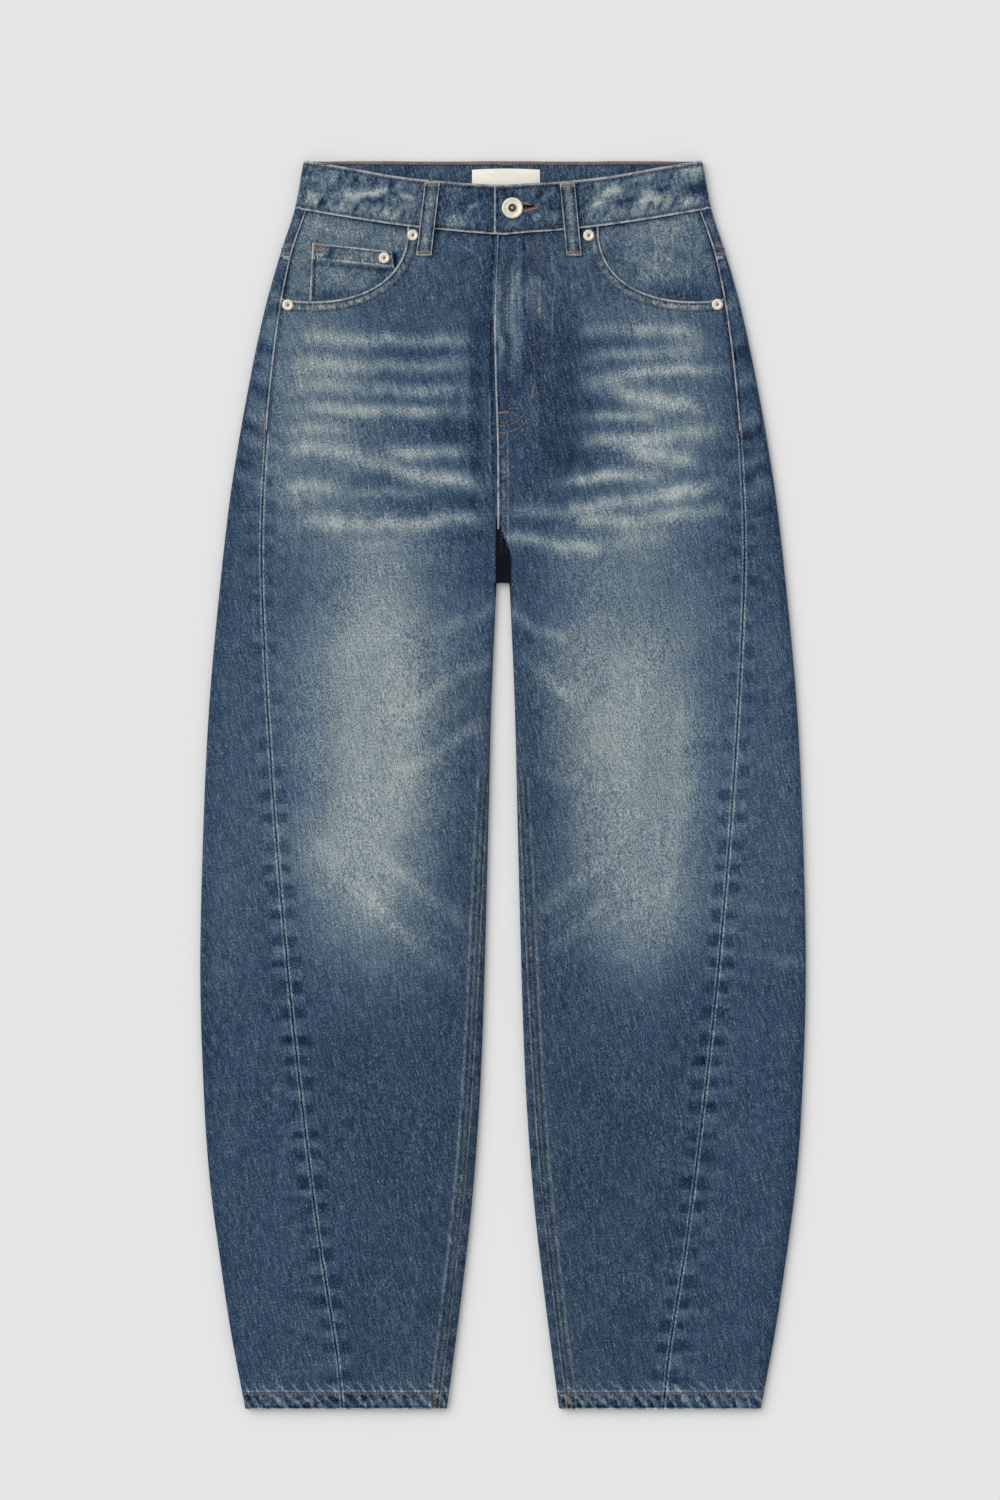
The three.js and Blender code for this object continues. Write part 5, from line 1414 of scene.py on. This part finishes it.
# Node tree that sets one stitch after another along every curve
def stitchTree():
    tree = bpy.data.node_groups.new("stitchRows", "GeometryNodeTree")
    face = tree.interface
    face.new_socket("Rows", in_out="INPUT", socket_type="NodeSocketGeometry")
    for label, kind, value in [("Pitch", "NodeSocketFloat", 0.003), ("Length", "NodeSocketFloat", 0.0025),
                               ("Radius", "NodeSocketFloat", 0.0004), ("Turn", "NodeSocketFloat", 0.0),
                               ("Worn", "NodeSocketFloat", 0.05), ("Seed", "NodeSocketInt", 3)]:
        face.new_socket(label, in_out="INPUT", socket_type=kind).default_value = value
    face.new_socket("Thread", in_out="INPUT", socket_type="NodeSocketMaterial")
    face.new_socket("Stitches", in_out="OUTPUT", socket_type="NodeSocketGeometry")
    given = tree.nodes.new("NodeGroupInput").outputs
    out = tree.nodes.new("NodeGroupOutput").inputs

    points = place(tree, "GeometryNodeCurveToPoints", {"Curve": given["Rows"], "Length": given["Pitch"]},
                   mode="LENGTH")

    def chance(low, high, shift):
        seed = place(tree, "FunctionNodeIntegerMath", {0: given["Seed"], 1: shift}, operation="ADD").outputs[0]
        made = place(tree, "FunctionNodeRandomValue", {"Min": low, "Max": high, "Seed": seed},
                     data_type="FLOAT")
        return next(s for s in made.outputs if s.enabled)
    angle = calc(tree, "ADD", given["Turn"], chance(-0.12, 0.12, 1))
    heading = place(tree, "ShaderNodeVectorRotate", {"Vector": points.outputs["Tangent"], "Axis": (0, 0, 1),
                                                     "Angle": angle}, rotation_type="AXIS_ANGLE")
    facing = place(tree, "FunctionNodeAlignRotationToVector", {"Vector": heading.outputs[0]}, axis="X")
    grow = chance(0.82, 1.12, 2)
    long = calc(tree, "MULTIPLY", calc(tree, "MULTIPLY", given["Length"], 0.5), grow)
    thick = calc(tree, "MULTIPLY", given["Radius"], chance(0.85, 1.15, 3))
    size = place(tree, "ShaderNodeCombineXYZ", {0: long, 1: thick, 2: calc(tree, "MULTIPLY", thick, 0.8)})
    kept = place(tree, "FunctionNodeCompare", {0: chance(0, 1, 4), 1: given["Worn"]}, operation="GREATER_THAN")
    bead = place(tree, "GeometryNodeMeshIcoSphere", {"Radius": 1.0, "Subdivisions": 1})
    smoothed = place(tree, "GeometryNodeSetShadeSmooth", {0: bead.outputs[0]})
    rows = place(tree, "GeometryNodeInstanceOnPoints", {
        "Points": points.outputs["Points"], "Selection": kept.outputs[0], "Instance": smoothed.outputs[0],
        "Rotation": facing.outputs[0], "Scale": size.outputs[0]})
    real = place(tree, "GeometryNodeRealizeInstances", {0: rows.outputs[0]})
    painted = place(tree, "GeometryNodeSetMaterial", {"Geometry": real.outputs[0], "Material": given["Thread"]})
    tree.links.new(painted.outputs[0], out[0])
    return tree


def surfaces(names):
    trees = []
    for name in names:
        mesh = made[name].data
        trees.append(BVHTree.FromPolygons([v.co for v in mesh.vertices], [p.vertices for p in mesh.polygons]))
    return trees


# Points (x, down) set down on the named pieces, from above or, for hidden rows, from below
def laidOn(points, names, radius, below=False):
    trees = surfaces(names)
    placed = []
    for x, down in points:
        start = Vector((x, jeans["length"] / 2 - down, -30 if below else 60)) * mm
        hits = [tree.ray_cast(start, Vector((0, 0, 1 if below else -1)))[0] for tree in trees]
        heights = [hit.z for hit in hits if hit]
        if heights:
            z = min(heights) + radius * mm * 0.3 if below else max(heights) + radius * mm * 0.25
            placed.append(Vector((start.x, start.y, z)))
    return placed


def along(x, down, step=2.0):
    x, down = np.broadcast_arrays(np.asarray(x, float), np.asarray(down, float))
    reached = np.concatenate([[0], np.cumsum(np.hypot(np.diff(x), np.diff(down)))])
    at = np.linspace(0, reached[-1], max(2, int(reached[-1] / step)))
    return list(zip(np.interp(at, reached, x), np.interp(at, reached, down)))


def ellipseTurn(centreX, centreDown, reachX, reachDown):
    turn = np.linspace(0, np.pi / 2, 24)
    return centreX + reachX * np.cos(turn), centreDown + reachDown * np.sin(turn)


hemRowUp = 13.0        # the hem's stitches over its edge


# All rows as (thread, points, pieces, from below)
def stitchRows():
    rows = []

    def row(thread, x, down, names, below=False):
        rows.append((thread, along(x, down), [names] if isinstance(names, str) else names, below))
    for side, hand in ((-1, "right"), (1, "left")):
        waist, front, back = "waistband_" + hand, "front_panel_" + hand, "back_panel_" + hand
        first = 9 if side < 0 else -3.5
        half = np.linspace(first, 167, 80)
        row("tan", side * half, bandTopFront(np.abs(half)) + 2.9, waist)
        row("tan", side * half, bandBottomFront(np.abs(half)) - 3.3, waist)
        half = np.linspace(2, 160, 60)
        row("binding", side * half, 1.6, waist)
        row("dark", side * half, 3.3, waist)
        share = np.linspace(0.03, 0.995, 90)
        for thread, out in (("dark", 2.4), ("tan", 7.4)):
            mh, md = mouthPoint(share, out)
            row(thread, side * mh, md, front)
        down = np.linspace(66, 221, 60)
        row("dark", side * (outseam(down) - 2.4), down, front)
        down = np.linspace(232, 262, 12)
        row("dark", side * (outseam(down) + 2.6), down, back)
        row("tanTack", side * (outseam(np.array([223, 234])) + 2.0), [222.5, 234.5], [front, back])
        down = np.linspace(520, 1046, 200)
        reach = jeans["foldReach"]
        for out in (2.6, 6.7):
            arc = quarterArc * foldAngle(inseamRoll(down)) / (np.pi / 2) + out
            half = innerEdge(down) + np.where(arc < quarterArc,
                                              reach * (1 - np.cos(arc / quarterArc * np.pi / 2)),
                                              reach + arc - quarterArc)
            row("dark", side * half, down, front)
            ends = np.linspace(1047, 1057, 5)
            row("copper", side * np.interp(ends, down, half), ends, front)
        hem = jeans["length"] - hemRowUp
        start = innerEdge(hem) + inseamRoll(hem) + 11
        half = np.linspace(start, outseam(hem) - 1.5, 60)
        row("copper", side * half, hem, front)
        row("copper", side * np.linspace(start - 10, start - 1, 6), hem, front)
        row("copper", side * np.linspace(outseam(hem) + 1.5, outerEdge(hem) - 3, 50), hem, back)
        half = np.linspace(outseam(80) + 1.5, outerEdge(82) - 2.5, 6)
        for thread, out in (("binding", 2.6), ("dark", 4.8), ("dark", 7.2), ("binding", 9.4)):
            row(thread, side * half, 81.5 - out, "yoke_" + hand)

    leftBand, leftFront = "waistband_left", "front_panel_left"
    row("dark", -7.6 + 3.6, np.linspace(24, 58, 16), leftBand)
    down = np.linspace(66, 212, 50)
    for out in (9.6, 12.6):
        row("dark", centreFront(down) + out, down, leftFront)
    down = np.linspace(233, 332, 40)
    for out in (3.4, 7.6):
        row("dark", centreFront(down) + out, down, leftFront)
    for x, last, reachX, reachDown in ((26.5, 190, 28.5, 35.5), (33, 186, 35, 45)):
        row("tan", x, np.linspace(65, last, 20), leftFront)
        curveX, curveDown = ellipseTurn(-2, last, reachX, reachDown)
        row("tan", curveX[:11], curveDown[:11], leftFront)
        row("copper", curveX[10:], curveDown[10:], leftFront)
    for thread, x, down, name in (("tack", [26.2, 24.2], [192, 201.5], leftFront),
                                  ("tack", [-4.2, 4.6], [214, 213.4], leftFront),
                                  ("copper", [-4, 3], [222.5, 222], leftFront),
                                  ("tack", [15.5, 29.5], [36.4, 39.2], leftBand),
                                  ("tack", [15.5, 29.5], [44.2, 40.4], leftBand)):
        row(thread, x, down, name)

    coinShare = np.linspace(coin["fromShare"] + 0.02, coin["toShare"] - 0.02, 40)
    _, (openHalf, openDown), _ = facingGrid(coinShare, [0])
    row("tan", -openHalf, openDown + 2.2, "coin_pocket")
    row("dark", -openHalf, openDown + 11, "coin_pocket")
    for share in (coin["toShare"] - 0.018, coin["fromShare"] + 0.02):
        _, _, (sideHalf, sideDown) = facingGrid(np.array([share]), np.linspace(0.03, 0.8, 30))
        row("dark", -sideHalf[:, 0], sideDown[:, 0], "coin_pocket")
    for thread, down in (("binding", 71.6), ("tanTack", 74.2), ("dark", 76.4)):
        row(thread, [-159.6, -153.4], [down, down + 0.6], "coin_pocket")
    for x in (-158.6, -156.4, -154.2):
        row("dark", x, np.array([77.6, 82.6]), "coin_pocket")

    for name, (topX, bottomX, top, bottom) in frontLoops.items():
        t = np.linspace(0.03, 0.97, 30)
        for off in (-3.9, 3.9):
            row("dark", mix(topX, bottomX, t) + off, mix(top, bottom, t), name)
        run = bottom - top
        for thread, at in (("tanTack", 1.8), ("dark", 4.4), ("dark", run - 4.8), ("binding", run - 2.2)):
            x = mix(topX, bottomX, at / run)
            row(thread, [x - 5, x + 5], top + at, name)
    row("tanTack", [-3, 9.8], [2.6, 2.6], ["waistband_left", "waistband_right"])

    for side, hand in ((-1, "right"), (1, "left")):
        back = "back_panel_" + hand
        half = np.linspace(3, 160, 50)
        row("hidden", side * half, 3.0, "waistband_" + hand, True)
        row("hidden", side * half, 37.0, "waistband_" + hand, True)
        seam = np.linspace(108, 84, 50)
        for out in (2, 8):
            row("hidden", side * half, seam + out, back, True)
        if side > 0:
            down = np.linspace(116, 345, 60)
            for x in (2, 8):
                row("hidden", x, down, back, True)
        p = backPocket
        pointHalf = (p["bottomIn"][0] + p["bottomOut"][0]) / 2
        for inset in (2, 8):
            corners = [(p["topIn"][0] + inset, p["topIn"][1] + 2),
                       (p["bottomIn"][0] + inset, p["bottomIn"][1] - inset * 0.7),
                       (pointHalf, p["bottomIn"][1] + 19.5 - inset),
                       (p["bottomOut"][0] - inset, p["bottomOut"][1] - inset * 0.7),
                       (p["topOut"][0] - inset, p["topOut"][1] + 2)]
            row("hidden", [side * c[0] for c in corners], [c[1] for c in corners], "back_pocket_" + hand, True)
        row("hidden", side * np.linspace(44, 166, 20), np.linspace(152, 143.5, 20), "back_pocket_" + hand, True)
        hem = jeans["length"] - hemRowUp
        row("hidden", side * np.linspace(innerEdge(hem) + 6, outerEdge(hem) - 6, 60), hem, back, True)
    for name, x in backLoops.items():
        for off in (-3.6, 3.6):
            row("hidden", x + off, np.linspace(4, 60, 20), name, True)
    return rows


def sew():
    tree = stitchTree()
    sockets = {item.name: item.identifier for item in tree.interface.items_tree if item.in_out == "INPUT"}
    rows = stitchRows()
    sewn = 0
    for thread, look in threads.items():
        curve = bpy.data.curves.new(thread + "Rows", "CURVE")
        curve.dimensions = "3D"
        for kind, points, names, below in rows:
            if kind != thread:
                continue
            placed = laidOn(points, names, look["radius"], below)
            if len(placed) > 1:
                spline = curve.splines.new("POLY")
                spline.points.add(len(placed) - 1)
                spline.points.foreach_set("co", [c for p in placed for c in (*p, 1)])
        guide = bpy.data.objects.new(thread + "Guide", curve)
        bpy.context.scene.collection.objects.link(guide)
        nodes = guide.modifiers.new("stitches", "NODES")
        nodes.node_group = tree
        values = {"Pitch": look["pitch"] * mm, "Length": look["length"] * mm, "Radius": look["radius"] * mm,
                  "Turn": math.radians(look["turn"]), "Worn": float(look["worn"]), "Seed": 11,
                  "Thread": look["material"]}
        for key, value in values.items():
            nodes[sockets[key]] = value
        graph = bpy.context.evaluated_depsgraph_get()
        mesh = bpy.data.meshes.new_from_object(guide.evaluated_get(graph), depsgraph=graph)
        mesh.name = thread + "Stitches"
        piece = bpy.data.objects.new(mesh.name, mesh)
        bpy.context.scene.collection.objects.link(piece)
        bpy.data.objects.remove(guide)
        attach(piece, "root")
        sewn += len(mesh.polygons)
    print("rows sewn, triangles:", sewn)


sew()


# Each cloth piece's flat cut in millimetres, without seam allowances: width, length, area
flatCuts = dict(
    front_panel=(205, 1005, 158000), back_panel=(345, 985, 262000), yoke=(190, 66, 11500),
    waistband=(353, 42, 14600), pocket_facing=(105, 84, 7440), back_pocket=(130, 155, 16900),
    coin_pocket=(76, 66, 3900), belt_loop_front=(12.7, 63, 800), belt_loop_back=(12.7, 60, 762),
    waist_patch=(57.6, 27.6, 1560))


def declareSheets():
    for name, piece in made.items():
        key = next((k for k in flatCuts if name.startswith(k)), None)
        if key:
            width, length, area = flatCuts[key]
            restsOn(name)


def restsOn(name):
    hand = name.rsplit("_", 1)[-1]
    under = dict(front_panel="back_panel_" + hand, waistband="yoke_" + hand, pocket_facing="back_panel_" + hand,
                 coin_pocket="pocket_facing_right", belt_loop_front="waistband_" + hand,
                 waist_patch="waistband_left")
    key = next((k for k in under if name.startswith(k)), None)
    return [made[under[key]]] if key else []


# Floor, light and camera
studio = dict(floorColor=(232, 232, 232), ambient=0.64, sunPower=1.50, sunAngle=48, sunFrom=(-0.62, 0.42, 0.78),
              cameraHeight=3.2, viewHeight=1.275, aim=(-0.00255, 0.0297))


def buildStudio():
    bpy.ops.mesh.primitive_plane_add(size=12, location=(0, 0, -0.0006))
    floor = bpy.context.object
    floor.name = "floor"
    paint, tree, shader, _ = material("studioFloor", specular=0.05)
    shader.inputs["Base Color"].default_value = linear(studio["floorColor"])
    shader.inputs["Roughness"].default_value = 0.95
    floor.data.materials.append(paint)

    world = bpy.data.worlds.new("studio")
    world.use_nodes = True
    world.node_tree.nodes["Background"].inputs["Color"].default_value = (1, 1, 1, 1)
    world.node_tree.nodes["Background"].inputs["Strength"].default_value = studio["ambient"]
    bpy.context.scene.world = world

    lamp = bpy.data.lights.new("softbox", "SUN")
    lamp.energy = studio["sunPower"]
    lamp.angle = math.radians(studio["sunAngle"])
    softbox = bpy.data.objects.new("softbox", lamp)
    softbox.location = Vector(studio["sunFrom"]) * 3
    softbox.rotation_euler = (-Vector(studio["sunFrom"])).to_track_quat("-Z", "Y").to_euler()
    bpy.context.scene.collection.objects.link(softbox)

    view = bpy.data.cameras.new("camera")
    view.sensor_width = 36
    view.lens = 18 * studio["cameraHeight"] / (studio["viewHeight"] / 2)
    view.clip_end = 30
    camera = bpy.data.objects.new("camera", view)
    camera.location = (*studio["aim"], studio["cameraHeight"])
    bpy.context.scene.collection.objects.link(camera)
    bpy.context.scene.camera = camera
    bpy.context.scene.view_settings.view_transform = "Standard"


declareSheets()
buildStudio()
print("studio made")
